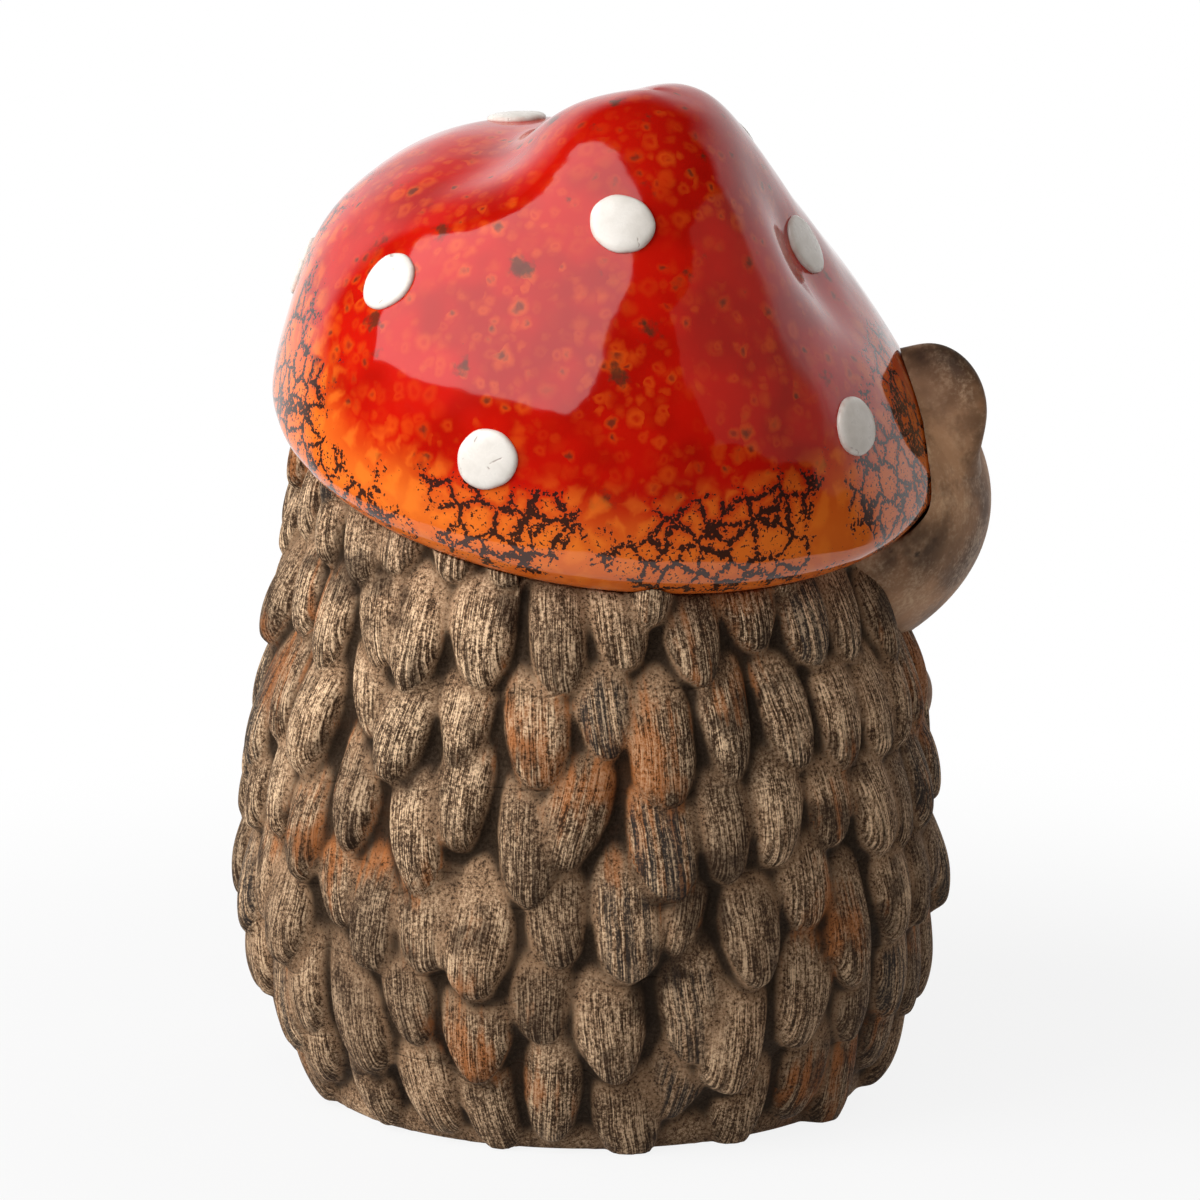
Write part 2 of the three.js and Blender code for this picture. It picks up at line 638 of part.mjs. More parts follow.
// The quill coat: each row is fitted over the barrel and the row below it
const rowSpans = [
  ...Array(5).fill([-BELLY_EDGE, BELLY_EDGE]),
  [-CHEEK_EDGE, CHEEK_EDGE],
  [-CHEEK_EDGE, HAT_EDGE_BEHIND],
  [-CHEEK_EDGE, HAT_EDGE_LEFT],
];
let rowBelow = table;
rowSpans.forEach(([fromAngle, toAngle], row) => {
  const strip = quillStrip(row, fromAngle, toAngle, 0);
  const fitted = strip.subtract(bodyClear).subtract(limbsClear).subtract(rowBelow);
  addPiece(figurine, `quill_row_${twoDigits(row + 1)}`, fitted, QUILL_CLAY);
  rowBelow = quillStrip(row, fromAngle, toAngle, SEAT_GAP);
});

// The hat and its dabs, in the hat's own tilted frame
addPiece(hat, "mushroom_cap", hatSolid(), RED_GLAZE);
SPOT_PLACES.forEach(([angle, share], index) => {
  addPiece(hat, `cap_spot_${twoDigits(index + 1)}`, spotSolid(angle, share), WHITE_DAB);
});

// The origin is the middle of the footprint, on the table
const extent = new THREE.Box3().setFromObject(figurine, true);
const footprint = extent.getCenter(new THREE.Vector3()).setZ(extent.min.z);
figurine.position.sub(footprint);

export default figurine;
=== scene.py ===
# %% [markdown]
# # A hedgehog figurine in a toadstool hat
# The figurine is slip-cast clay: a barrel body, rows of pressed quills, a face with ears, arms and feet
# luted on, and a hollow glazed hat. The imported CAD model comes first, because every piece that is made
# here has to sit exactly where its solid sits. Its box is kept, to compare sizes at the end.

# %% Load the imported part
import math

import bmesh
import bpy
import numpy as np
from mathutils import Matrix, Vector


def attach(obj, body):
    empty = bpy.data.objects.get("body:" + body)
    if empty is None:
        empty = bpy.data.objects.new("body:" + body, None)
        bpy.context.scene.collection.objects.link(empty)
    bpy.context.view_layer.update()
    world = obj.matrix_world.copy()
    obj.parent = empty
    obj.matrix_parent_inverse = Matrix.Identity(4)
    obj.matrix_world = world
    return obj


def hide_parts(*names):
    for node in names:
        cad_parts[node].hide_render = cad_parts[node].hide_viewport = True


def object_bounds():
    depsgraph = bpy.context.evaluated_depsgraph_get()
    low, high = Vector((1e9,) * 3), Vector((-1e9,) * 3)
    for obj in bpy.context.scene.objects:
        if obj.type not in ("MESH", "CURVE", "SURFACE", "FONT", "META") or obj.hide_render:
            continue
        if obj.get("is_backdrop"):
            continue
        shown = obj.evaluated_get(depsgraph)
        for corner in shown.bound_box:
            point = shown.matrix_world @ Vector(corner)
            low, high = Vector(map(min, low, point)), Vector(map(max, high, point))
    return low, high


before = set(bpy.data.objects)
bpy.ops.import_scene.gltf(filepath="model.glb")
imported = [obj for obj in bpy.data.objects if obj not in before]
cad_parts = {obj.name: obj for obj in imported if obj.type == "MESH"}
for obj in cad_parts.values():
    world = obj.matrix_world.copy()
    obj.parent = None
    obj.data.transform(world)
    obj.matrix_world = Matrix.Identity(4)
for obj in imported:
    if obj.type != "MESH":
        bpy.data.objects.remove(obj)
cad_low, cad_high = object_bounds()
MM = 0.001
print("CAD box in mm:", [round(side / MM, 1) for side in cad_high - cad_low])

# %% [markdown]
# ## The camera and the white table
# The photograph is taken from behind, a little to the figure's right and a little from above, with a
# long lens. A long lens far away keeps the sides of the barrel parallel. The small shift puts the
# figure where it stands in the frame, a touch left of the middle and low; it is counted in pixels.

# %% Camera
AXIS = Vector((-0.307, 16.374, 0)) * MM
AIM = AXIS + Vector((0, 0, 92 * MM))
AZIMUTH = math.radians(220)
ELEVATION = 10
DISTANCE = 0.9
PHOTO_SIDE = 1200
LENS = 139.2
SENSOR = 36
SHIFT = (10, 14)


def new_object(name, data):
    """An object at the origin, in the scene."""
    thing = bpy.data.objects.new(name, data)
    bpy.context.scene.collection.objects.link(thing)
    return thing


def point_from_aim(turn, lift, distance):
    """A point round the figure: turn degrees right of the camera, lift degrees above the floor."""
    side = AZIMUTH + math.radians(turn)
    rise = math.radians(lift)
    way = Vector((math.sin(side) * math.cos(rise), -math.cos(side) * math.cos(rise), math.sin(rise)))
    return AIM + way * distance


def face_aim(thing, turn, lift, distance):
    """Stand a camera or a lamp round the figure and turn it to look at it."""
    thing.location = point_from_aim(turn, lift, distance)
    thing.rotation_euler = (AIM - thing.location).to_track_quat("-Z", "Y").to_euler()


camera = new_object("camera", bpy.data.cameras.new("camera"))
face_aim(camera, 0, ELEVATION, DISTANCE)
camera.data.lens = LENS
camera.data.sensor_width = SENSOR
camera.data.shift_x, camera.data.shift_y = (pixels / PHOTO_SIDE for pixels in SHIFT)
camera.data.clip_end = 50
bpy.context.scene.camera = camera
print("camera stands", round(DISTANCE / MM), "mm away")

# %% [markdown]
# ## Short helpers for node trees
# Materials and geometry trees are both made of nodes. Here a node's output is wrapped as a field, which can
# be added and multiplied like a number: each sum adds the node that does it. A few more helpers stand for
# the nodes that come back again and again, such as soft steps, noise, cells and layers of colour.


# %% Node helpers
class Field:
    """A node's output that can be counted with like a number."""

    def __init__(self, socket):
        self.socket = socket
        self.tree = socket.id_data

    def __add__(self, other):
        return calc("ADD", self, other)

    def __sub__(self, other):
        return calc("SUBTRACT", self, other)

    def __rsub__(self, other):
        return calc("SUBTRACT", other, self)

    def __mul__(self, other):
        return calc("MULTIPLY", self, other)

    def __truediv__(self, other):
        return calc("DIVIDE", self, other)


def add_node(tree, kind, inputs=None, **options):
    """Add a node, set its options, and fill its sockets with values or fields."""
    node = tree.nodes.new(kind)
    for option, value in options.items():
        setattr(node, option, value)
    for socket, value in (inputs or {}).items():
        if isinstance(value, Field):
            tree.links.new(value.socket, node.inputs[socket])
        else:
            node.inputs[socket].default_value = value
    return node


def made(tree, kind, inputs=None, output=0, **options):
    """Add a node and take one of its outputs as a field."""
    return Field(add_node(tree, kind, inputs, **options).outputs[output])


def tree_of(*values):
    """The tree of the first field among some values."""
    return next(value.tree for value in values if isinstance(value, Field))


def calc(operation, *values, clamp=False):
    """One sum of numbers and fields."""
    inputs = dict(enumerate(values))
    return made(tree_of(*values), "ShaderNodeMath", inputs, operation=operation, use_clamp=clamp)


def vector(operation, *values):
    """One sum of vectors, or of a vector and a scale."""
    inputs = dict(zip((0, 3) if operation == "SCALE" else (0, 1), values))
    output = "Value" if operation in ("LENGTH", "DOT_PRODUCT") else "Vector"
    return made(tree_of(*values), "ShaderNodeVectorMath", inputs, output, operation=operation)


def ease(value, low, high, start=0.0, end=1.0):
    """A soft step of a field: start below low, end above high."""
    inputs = {"Value": value, "From Min": low, "From Max": high, "To Min": start, "To Max": end}
    return made(value.tree, "ShaderNodeMapRange", inputs, interpolation_type="SMOOTHSTEP")


def noise(place, scale, detail=2.0, roughness=0.5):
    """Soft cloudy noise between about 0.25 and 0.75."""
    inputs = {"Vector": place, "Scale": scale, "Detail": detail, "Roughness": roughness}
    return made(place.tree, "ShaderNodeTexNoise", inputs)


def cells(place, scale):
    """A cell pattern: how far it is to the cell's middle, and two chances that each cell draws."""
    node = add_node(place.tree, "ShaderNodeTexVoronoi", {"Vector": place, "Scale": scale}, feature="F1")
    draws = add_node(place.tree, "ShaderNodeSeparateColor", {0: Field(node.outputs["Color"])}).outputs
    return Field(node.outputs["Distance"]), Field(draws[0]), Field(draws[1])


def cell_walls(place, scale):
    """How far it is to the nearest wall of a cell pattern."""
    inputs = {"Vector": place, "Scale": scale}
    return made(place.tree, "ShaderNodeTexVoronoi", inputs, "Distance", feature="DISTANCE_TO_EDGE")


def layered(base, *layers):
    """Colours laid over a base one after another, each by its own factor."""
    for factor, over in layers:
        base = made(factor.tree, "ShaderNodeMix", {0: factor, 6: base, 7: over}, 2, data_type="RGBA")
    return base


def read(tree, name):
    """A number that the mesh carries at each point."""
    return made(tree, "ShaderNodeAttribute", output="Fac", attribute_name=name)


def colour(red, green, blue):
    """A colour with full cover."""
    return (red, green, blue, 1.0)


def new_paint(name):
    """An empty material: the material, its tree and the object's own coordinates."""
    material = bpy.data.materials.new(name)
    material.use_nodes = True
    tree = material.node_tree
    tree.nodes.clear()
    return material, tree, made(tree, "ShaderNodeTexCoord", output="Object")


def close_paint(base, roughness, shine, relief, strength, depth):
    """End a material with one surface shader and the bump of its relief."""
    normal = made(base.tree, "ShaderNodeBump", {"Strength": strength, "Distance": depth, "Height": relief})
    surface = made(base.tree, "ShaderNodeBsdfPrincipled", {
        "Base Color": base,
        "Roughness": roughness,
        "Specular IOR Level": shine,
        "Normal": normal,
    })
    add_node(base.tree, "ShaderNodeOutputMaterial", {"Surface": surface})


def mix_paint(share, under, over):
    """End a material with two shaders mixed by a share."""
    both = made(share.tree, "ShaderNodeMixShader", {0: share, 1: under, 2: over})
    add_node(share.tree, "ShaderNodeOutputMaterial", {"Surface": both})


print("node helpers are ready")

# %% [markdown]
# ## Soft light on a white sweep
# The glaze mirrors its surroundings, so the light is part of the picture. A wide soft box stands left of the
# camera and a weak, warmer one right of it. Three more boxes light the clay but are not mirrored. Above and
# between the mirrored boxes the glaze shows the dark studio, and behind the figure the white sweep. The
# studio is a dome with a dark apron over the floor, and only reflections see it. The sky is white where the
# camera, a reflection or glass looks at it, and a faint grey for lighting.

# %% Light and floor
WHITE = (1.0, 1.0, 1.0)
AMBER = (1.0, 0.82, 0.66)
SKY_LEVEL = 0.05
PAPER_GREY = 0.52
FLOOR_HALF = 3.0
FLOOR_WHITE = 0.87
SHADOW_NEAR, SHADOW_FAR = 0.10, 0.32
# Degrees right of the camera and above the floor, distance, width, height, watts, hue, and if it is mirrored
LAMPS = {
    "left_soft_box": (-46, 43, 1.2, 1.9, 1.05, 15.5, WHITE, True),
    "right_soft_box": (68, 22, 1.3, 1.4, 0.9, 1.3, AMBER, True),
    "side_soft_box": (-98, 12, 1.2, 0.9, 0.9, 2, WHITE, False),
    "key_soft_box": (-60, 28, 1.2, 0.8, 0.8, 12, WHITE, False),
    "face_soft_box": (142, 28, 1.3, 1.0, 0.8, 6, WHITE, False),
}


def new_mesh(name, points, faces=()):
    """A mesh of points and faces."""
    mesh = bpy.data.meshes.new(name)
    mesh.from_pydata(list(points), [], list(faces))
    return mesh


def carry(mesh, name, values, kind="FLOAT"):
    """Let a mesh carry one value per point."""
    attribute = mesh.attributes.new(name, kind, "POINT")
    attribute.data.foreach_set("vector" if kind == "FLOAT_VECTOR" else "value", np.asarray(values).ravel())


def seen_rays(tree):
    """One for rays of the camera, of reflections and of glass, nothing for plain lighting."""
    rays = add_node(tree, "ShaderNodeLightPath").outputs
    seen = 0.0
    for kind in ("Camera", "Glossy", "Transmission"):
        seen = calc("MAXIMUM", seen, Field(rays[f"Is {kind} Ray"]))
    return seen


for name, (turn, lift, distance, width, height, energy, hue, mirrored) in LAMPS.items():
    lamp = bpy.data.lights.new(name, "AREA")
    lamp.shape = "RECTANGLE"
    lamp.size = width
    lamp.size_y = height
    lamp.energy = energy
    lamp.color = hue
    box = new_object(name, lamp)
    face_aim(box, turn, lift, distance)
    box.visible_glossy = mirrored

world = bpy.data.worlds.new("white_room")
bpy.context.scene.world = world
world.use_nodes = True
tree = world.node_tree
tree.nodes.clear()
level = ease(seen_rays(tree), 0.0, 1.0, SKY_LEVEL, 1.0)
sky = made(tree, "ShaderNodeBackground", {"Color": colour(*WHITE), "Strength": level})
add_node(tree, "ShaderNodeOutputWorld", {"Surface": sky})

corners = [(x * FLOOR_HALF, y * FLOOR_HALF, 0) for x, y in ((-1, -1), (1, -1), (1, 1), (-1, 1))]
floor = new_object("floor", new_mesh("floor", corners, [(0, 1, 2, 3)]))
table_white, tree, place = new_paint("table_white")
paper = made(tree, "ShaderNodeBsdfDiffuse", {"Color": colour(PAPER_GREY, PAPER_GREY, PAPER_GREY)})
glow = made(tree, "ShaderNodeEmission", {"Color": colour(*WHITE), "Strength": 1.0})
near = ease(vector("LENGTH", place), SHADOW_NEAR, SHADOW_FAR, FLOOR_WHITE, 1.0)
mix_paint(seen_rays(tree) * near, paper, glow)
floor.data.materials.append(table_white)
floor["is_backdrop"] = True
print("lamps:", len(bpy.data.lights))

# %% Dark studio that only reflections see
STUDIO_RADIUS = 2.6
STUDIO_STEP = 6
WALL_FOOT = -3
APRON = 0.3
APRON_LIFT = 0.001
FELT_GREY = 0.02
WALL_LEFT, WALL_RIGHT = (-126, -112), (105, 91)
CEILING = (28, 58)
corners, turns, lifts = [], [], []
for turn in range(-180, 180, STUDIO_STEP):
    for lift in range(WALL_FOOT, 90, STUDIO_STEP):
        for side, rise in ((0, 0), (STUDIO_STEP, 0), (STUDIO_STEP, STUDIO_STEP), (0, STUDIO_STEP)):
            turns.append(turn + side)
            lifts.append(min(lift + rise, 90))
            corners.append(point_from_aim(turn + side, lifts[-1], STUDIO_RADIUS))
    for side, reach in ((0, APRON), (STUDIO_STEP, APRON), (STUDIO_STEP, STUDIO_RADIUS), (0, STUDIO_RADIUS)):
        turns.append(turn + side)
        lifts.append(0)
        corners.append(point_from_aim(turn + side, 0, reach))
        corners[-1].z = APRON_LIFT
studio_mesh = new_mesh("dark_studio", corners, np.arange(len(corners)).reshape(-1, 4).tolist())
for name, values in (("turn", turns), ("lift", lifts)):
    carry(studio_mesh, name, values)
studio = new_object("dark_studio", studio_mesh)
for ray in ("camera", "diffuse", "transmission", "shadow"):
    setattr(studio, f"visible_{ray}", False)
black_felt, tree, place = new_paint("black_felt")
felt = made(tree, "ShaderNodeBsdfDiffuse", {"Color": colour(FELT_GREY, FELT_GREY, FELT_GREY)})
turn = read(tree, "turn")
walls = calc("MINIMUM", ease(turn, *WALL_RIGHT), ease(turn, *WALL_LEFT))
dark = calc("MAXIMUM", walls, ease(read(tree, "lift"), *CEILING))
mix_paint(dark, made(tree, "ShaderNodeBsdfTransparent"), felt)
studio_mesh.materials.append(black_felt)
studio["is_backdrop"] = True

bpy.context.scene.view_settings.view_transform = "Standard"
print("studio has", len(studio_mesh.polygons), "felts")

# %% [markdown]
# ## Closed skins and finished pieces
# Most pieces are skins over a stack of rings. A piece is finished when it has its material, rides on the
# figurine's one body and hides the solids it stands for.


# %% Mesh helpers
def reshape(mesh, change):
    """Change a mesh with mesh operators."""
    work = bmesh.new()
    work.from_mesh(mesh)
    change(work)
    work.to_mesh(mesh)
    work.free()


def closed_skin(name, rings, *ends):
    """A closed mesh over rings of points, drawn to a point at each end, or joined up if it has no ends."""
    rings = np.asarray(rings, float)
    count, sides = rings.shape[:2]
    points = rings.reshape(-1, 3)
    side = np.arange(sides)
    after = (side + 1) % sides
    faces = []
    for level in range(count - 1 if ends else count):
        low = level * sides
        high = (level + 1) % count * sides
        faces += np.stack([low + side, low + after, high + after, high + side], 1).tolist()
    if ends:
        points = np.vstack([points, ends])
        last = (count - 1) * sides
        pole = np.full(sides, count * sides)
        faces += np.stack([after, side, pole], 1).tolist()
        faces += np.stack([last + side, last + after, pole + 1], 1).tolist()
    mesh = new_mesh(name, points.tolist(), faces)
    reshape(mesh, lambda work: bmesh.ops.recalc_face_normals(work, faces=work.faces))
    return mesh


def points_of(mesh):
    """A mesh's points as an array."""
    flat = np.empty(len(mesh.vertices) * 3)
    mesh.vertices.foreach_get("co", flat)
    return flat.reshape(-1, 3)


def put_points(mesh, points):
    """Move a mesh's points."""
    mesh.vertices.foreach_set("co", np.asarray(points, np.float32).ravel())
    mesh.update()


def settled(thing):
    """Replace an object's mesh by its evaluated one and drop its modifiers."""
    evaluated = thing.evaluated_get(bpy.context.evaluated_depsgraph_get())
    mesh = bpy.data.meshes.new_from_object(evaluated)
    thing.modifiers.clear()
    old = thing.data
    thing.data = mesh
    bpy.data.meshes.remove(old)
    return thing


def finish_piece(thing, material, slot, *nodes):
    """Give a piece its material, and let it ride and stand for its solids."""
    mesh = thing.data
    mesh.materials.clear()
    mesh.materials.append(material)
    mesh.polygons.foreach_set("use_smooth", np.ones(len(mesh.polygons), bool))
    mesh.update()
    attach(thing, "root")
    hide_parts(*nodes)
    print(thing.name, "has", len(mesh.polygons), "faces")


def spline(points, shares):
    """Points on a smooth curve through the given points, at shares from 0 to 1."""
    knots = np.asarray(points, float)
    last = len(knots) - 1
    reach = np.clip(np.asarray(shares, float), 0, 1) * last
    index = np.minimum(reach.astype(int), last - 1)
    weight = (reach - index)[:, None]
    before = knots[np.maximum(index - 1, 0)]
    here = knots[index]
    there = knots[index + 1]
    beyond = knots[np.minimum(index + 2, last)]
    slope_here = (there - before) / 2
    slope_there = (beyond - here) / 2
    cubic = 2 * here - 2 * there + slope_here + slope_there
    square = -3 * here + 3 * there - 2 * slope_here - slope_there
    return cubic * weight**3 + square * weight**2 + slope_here * weight + here


def smooth_step(value, low, high):
    """A soft step between two values."""
    share = np.clip((value - low) / (high - low), 0, 1)
    return share * share * (3 - 2 * share)


def heading(angle):
    """A level direction round the figure: 0 looks out of its back, positive turns to its right side."""
    turn = np.radians(angle)
    return np.stack([-np.sin(turn), np.cos(turn), np.zeros_like(turn)], -1)


def unit(ways):
    """Directions brought to length one."""
    return ways / np.linalg.norm(ways, axis=-1, keepdims=True)


def round_point(angle, radius, height):
    """Points at angles round the axis, with their radius and height."""
    points = heading(np.asarray(angle, float)) * np.asarray(radius)[..., None]
    points[..., 2] = height
    return points


print("mesh helpers are ready")

# %% [markdown]
# ## The barrel
# All other pieces seat on the barrel, so its profile is written once: radius and height at five levels,
# joined by a smooth curve, as in the CAD source. A table of arc lengths gives any point along it.

# %% Barrel profile
HAT_LEVEL = 124.0
HAT_RADIUS = 64.5
HAT_RISE = 78.0
HAT_TILT = math.radians(19.5)
collar_height = HAT_LEVEL + HAT_RADIUS * math.tan(HAT_TILT)
BARREL_LEVELS = [(48.5, 0), (58.2, 16), (63.6, 42), (57.6, 90), (45, collar_height)]
PROFILE_STEPS = 2000
profile = spline(BARREL_LEVELS, np.linspace(0, 1, PROFILE_STEPS))
profile_length = np.concatenate([[0], np.cumsum(np.linalg.norm(np.diff(profile, axis=0), axis=1))])


def barrel_point(distance):
    """Radius and height at a distance up the barrel's profile."""
    radius = np.interp(distance, profile_length, profile[:, 0])
    height = np.interp(distance, profile_length, profile[:, 1])
    return np.stack([radius, height], -1)


def barrel_radius(height):
    """The barrel's radius at a height."""
    return np.interp(height, profile[:, 1], profile[:, 0])


axis_mm = np.array(AXIS) / MM


def in_frame(points):
    """Points of the figure, in millimetres about the barrel's axis, brought to the part's frame."""
    return (np.asarray(points, float) + axis_mm) * MM


print("barrel profile is", round(float(profile_length[-1]), 1), "mm long")

# %% [markdown]
# ## The toadstool hat
# The hat is a hollow casting with a drawn-up tip, one full lobe and a flank with a dent in it. Its side is
# a blend of three profiles round the hat, the same rule as in the CAD source, but with many more points and
# with the fold between lobe and tip pressed deeper. A slow ripple of a few tenths of a millimetre stands for
# the hand-cast surface, so that reflections bend.

# %% Shape of the hat
HAT_SHIFT = Vector((-2.3, -1.9, HAT_LEVEL))
HAT_WALL = 6.0
HAT_MOUTH = 32.0
LOBE_TURN, LOBE_SPREAD = -85, 62
FLANK_TURN, FLANK_SPREAD = 135, 55
TILT_TURN = 60.0
TIP_LEAN = np.array([-2.3, 3.2])
RIDGE_SIDE = [
    (0.88, 0), (0.985, 0.05), (1, 0.15), (0.885, 0.41), (0.735, 0.58),
    (0.55, 0.74), (0.355, 0.885), (0.195, 0.968), (0, 1),
]
FLANK_SIDE = [
    (0.88, 0), (0.985, 0.05), (0.99, 0.14), (0.81, 0.36), (0.65, 0.513),
    (0.495, 0.667), (0.355, 0.82), (0.2, 0.952), (0, 1),
]
LOBE_SIDE = [
    (0.88, 0), (0.985, 0.05), (1.01, 0.16), (0.955, 0.43), (0.84, 0.59),
    (0.665, 0.712), (0.43, 0.79), (0.215, 0.915), (0, 1),
]
# Angle, share up the side, their spreads, and depth
HAT_HOLLOWS = [
    (-38, 0.7, 26, 0.1, 3.0), (113, 0.6, 17, 0.13, 4.0), (-125, 0.7, 45, 0.2, 3.4),
    (-105, 0.81, 42, 0.085, 2.2), (-58, 0.75, 26, 0.055, 1.8),
]
RIPPLE_HEIGHT = 0.07
RIPPLE_CREST = 3.2
# Height, waves along x, y and z, and start
RIPPLE_WAVES = [
    (1.0, 0.19, 0.0, 0.11, 1.0), (1.0, 0.0, 0.16, -0.13, 2.1),
    (0.7, 0.31, -0.27, 0.0, 0.2), (0.5, 0.0, 0.3, 0.42, 4.0),
]

tilt_way = Vector(heading(np.float64(TILT_TURN)))
hat_turn = Matrix.Rotation(HAT_TILT, 4, Vector((0, 0, 1)).cross(tilt_way))
hat_place = np.array(Matrix.Translation(HAT_SHIFT) @ hat_turn)


def bell(away, spread):
    """A bell curve of the distance from its middle."""
    return np.exp(-((away / spread) ** 2))


def wrapped(angle):
    """The angle brought between -180 and 180."""
    return (np.asarray(angle) + 180) % 360 - 180


def hat_side(angle, share, growth=0.0):
    """Points of the hat's skin in its own frame, at angles round it and shares up its side."""
    lobe = bell(wrapped(angle - LOBE_TURN), LOBE_SPREAD)
    flank = bell(wrapped(angle - FLANK_TURN), FLANK_SPREAD)
    ridge = np.maximum(0, 1 - lobe - flank)
    whole = lobe + flank + ridge
    side = np.zeros((len(angle), 2))
    for profile_side, weight in ((LOBE_SIDE, lobe), (FLANK_SIDE, flank), (RIDGE_SIDE, ridge)):
        side = side + spline(profile_side, share) * (weight / whole)[:, None]
    pressed = np.zeros_like(angle)
    for middle, level, reach, spread, depth in HAT_HOLLOWS:
        pressed = pressed + depth * bell(wrapped(angle - middle), reach) * bell(share - level, spread)
    radius = side[:, 0] * (HAT_RADIUS + growth) - pressed * side[:, 0]
    height = side[:, 1] * (HAT_RISE + 2 * growth) - growth - pressed * side[:, 1]
    points = round_point(angle, radius, height)
    points[:, :2] += TIP_LEAN * (side[:, 1] ** 2)[:, None]
    return points


def hat_tip(growth=0.0):
    """The tip of the hat in its own frame."""
    return hat_side(np.array([0.0]), np.array([1.0]), growth)[0]


def hat_to_frame(points):
    """Points in the hat's own frame brought to the part's frame."""
    return in_frame(np.asarray(points, float) @ hat_place[:3, :3].T + hat_place[:3, 3])


def ripple(points):
    """A slow unevenness in millimetres, never above zero, from a few crossing waves."""
    x, y, z = points[..., 0], points[..., 1], points[..., 2]
    waves = 0.0
    for height, by_x, by_y, by_z, start in RIPPLE_WAVES:
        waves = waves + height * np.sin(by_x * x + by_y * y + by_z * z + start)
    return RIPPLE_HEIGHT * (waves - RIPPLE_CREST)


print("hat tip at", [round(v / MM, 1) for v in hat_to_frame(hat_tip())])

# %% [markdown]
# ## The quill coat
# The body is covered with rows of plump, drop-shaped quills that overlap like shingles. They were pressed
# one by one and then melted together when the mould was made, so the valleys between them are soft and the
# rows wander. A few sculpted forms are scattered over the barrel by Geometry Nodes. The tree then lets a
# fine sheet of clay settle over them from outside, as slip does in a mould, fills the sharp valleys, and
# lets each point remember which quill it lies on, where on it and how deep, because the paint follows that.

# %% Sculpt the quill forms
FORM_SIDES = 20
FORM_RINGS = 18
QUILL_HALF = 0.52
END_SQUARENESS, END_FULLNESS = 2.3, 2.2
TIP_FROM = 0.62
ROOT_WIDTH, WIDTH_GAIN = 0.92, 0.08
ROOT_CROWN, CROWN_GAIN = 0.50, 0.50
CROWN_FROM, CROWN_LAG = 0.05, 0.12
CROWN_ROUNDNESS = 0.85
BACK_SHARE = 0.32
KEEL_WIDTH = 0.3


def quill_form(name, bend, shoulder, point, keel):
    """A quill of unit length, width and rise: root at 0, tip at +Y, crown at +Z."""
    share = (1 - np.cos(np.linspace(0, np.pi, FORM_RINGS + 1)[1:-1])) / 2
    ends = (1 - np.abs(2 * share - 1) ** END_SQUARENESS) ** (1 / END_FULLNESS)
    slim_tip = 1 - point * smooth_step(share, TIP_FROM, 1.0)
    widened = ROOT_WIDTH + WIDTH_GAIN * smooth_step(share, 0.0, shoulder)
    half_width = QUILL_HALF * ends * widened * slim_tip
    crown = ends * (ROOT_CROWN + CROWN_GAIN * smooth_step(share, CROWN_FROM, shoulder + CROWN_LAG))
    around = np.linspace(0, 2 * np.pi, FORM_SIDES, endpoint=False)
    across = np.cos(around)
    front = np.sin(around) > 0
    steep = np.abs(np.sin(around))
    rise = np.where(front, steep**CROWN_ROUNDNESS, -BACK_SHARE * steep)
    rise = rise + keel * bell(across, KEEL_WIDTH) * front
    sway = bend * share**2
    x = half_width[:, None] * across[None, :] + sway[:, None]
    y = np.broadcast_to(share[:, None], x.shape)
    z = crown[:, None] * rise[None, :]
    rings = np.stack([x, y, z], -1)
    mesh = closed_skin(name, rings, (0, 0, 0), (bend, 1, 0))
    carry(mesh, "along", np.append(y.ravel(), [0, 1]))
    carry(mesh, "across", np.append((2 * half_width[:, None] * across[None, :]).ravel(), [0, 0]))
    return bpy.data.objects.new(name, mesh)


QUILL_FORMS = [
    quill_form("quill_a_broad", 0.02, 0.62, 0.05, 0.00),
    quill_form("quill_b_left", -0.20, 0.68, 0.14, 0.06),
    quill_form("quill_c_right", 0.20, 0.66, 0.12, 0.05),
    quill_form("quill_d_slim", 0.08, 0.74, 0.22, 0.09),
    quill_form("quill_e_blunt", -0.08, 0.56, 0.00, 0.00),
]
quill_forms = bpy.data.collections.new("quill_forms")
for form in QUILL_FORMS:
    quill_forms.objects.link(form)
print(len(QUILL_FORMS), "quill forms with", len(QUILL_FORMS[0].data.polygons), "faces each")


# %% Geometry tree helpers
def new_geometry_tree(name, inputs):
    """A geometry tree with named inputs: the tree, and its inputs as fields."""
    tree = bpy.data.node_groups.new(name, "GeometryNodeTree")
    sockets = {"Geometry": "Geometry", **inputs}
    for socket, kind in sockets.items():
        tree.interface.new_socket(socket, in_out="INPUT", socket_type="NodeSocket" + kind)
    tree.interface.new_socket("Geometry", in_out="OUTPUT", socket_type="NodeSocketGeometry")
    outputs = tree.nodes.new("NodeGroupInput").outputs
    return tree, {socket: Field(outputs[socket]) for socket in sockets}


def named(tree, name, kind="FLOAT"):
    """A named value of the geometry that the tree works on."""
    return made(tree, "GeometryNodeInputNamedAttribute", {"Name": name}, data_type=kind)


def store(geometry, name, value, kind="FLOAT", domain="POINT"):
    """Keep a value on the geometry under a name."""
    inputs = {"Geometry": geometry, "Name": name, "Value": value}
    return made(geometry.tree, "GeometryNodeStoreNamedAttribute", inputs, data_type=kind, domain=domain)


def blurred(value, rounds, kind="FLOAT"):
    """A value averaged with its neighbours' for some rounds."""
    inputs = {"Value": value, "Iterations": rounds}
    return made(value.tree, "GeometryNodeBlurAttribute", inputs, data_type=kind)


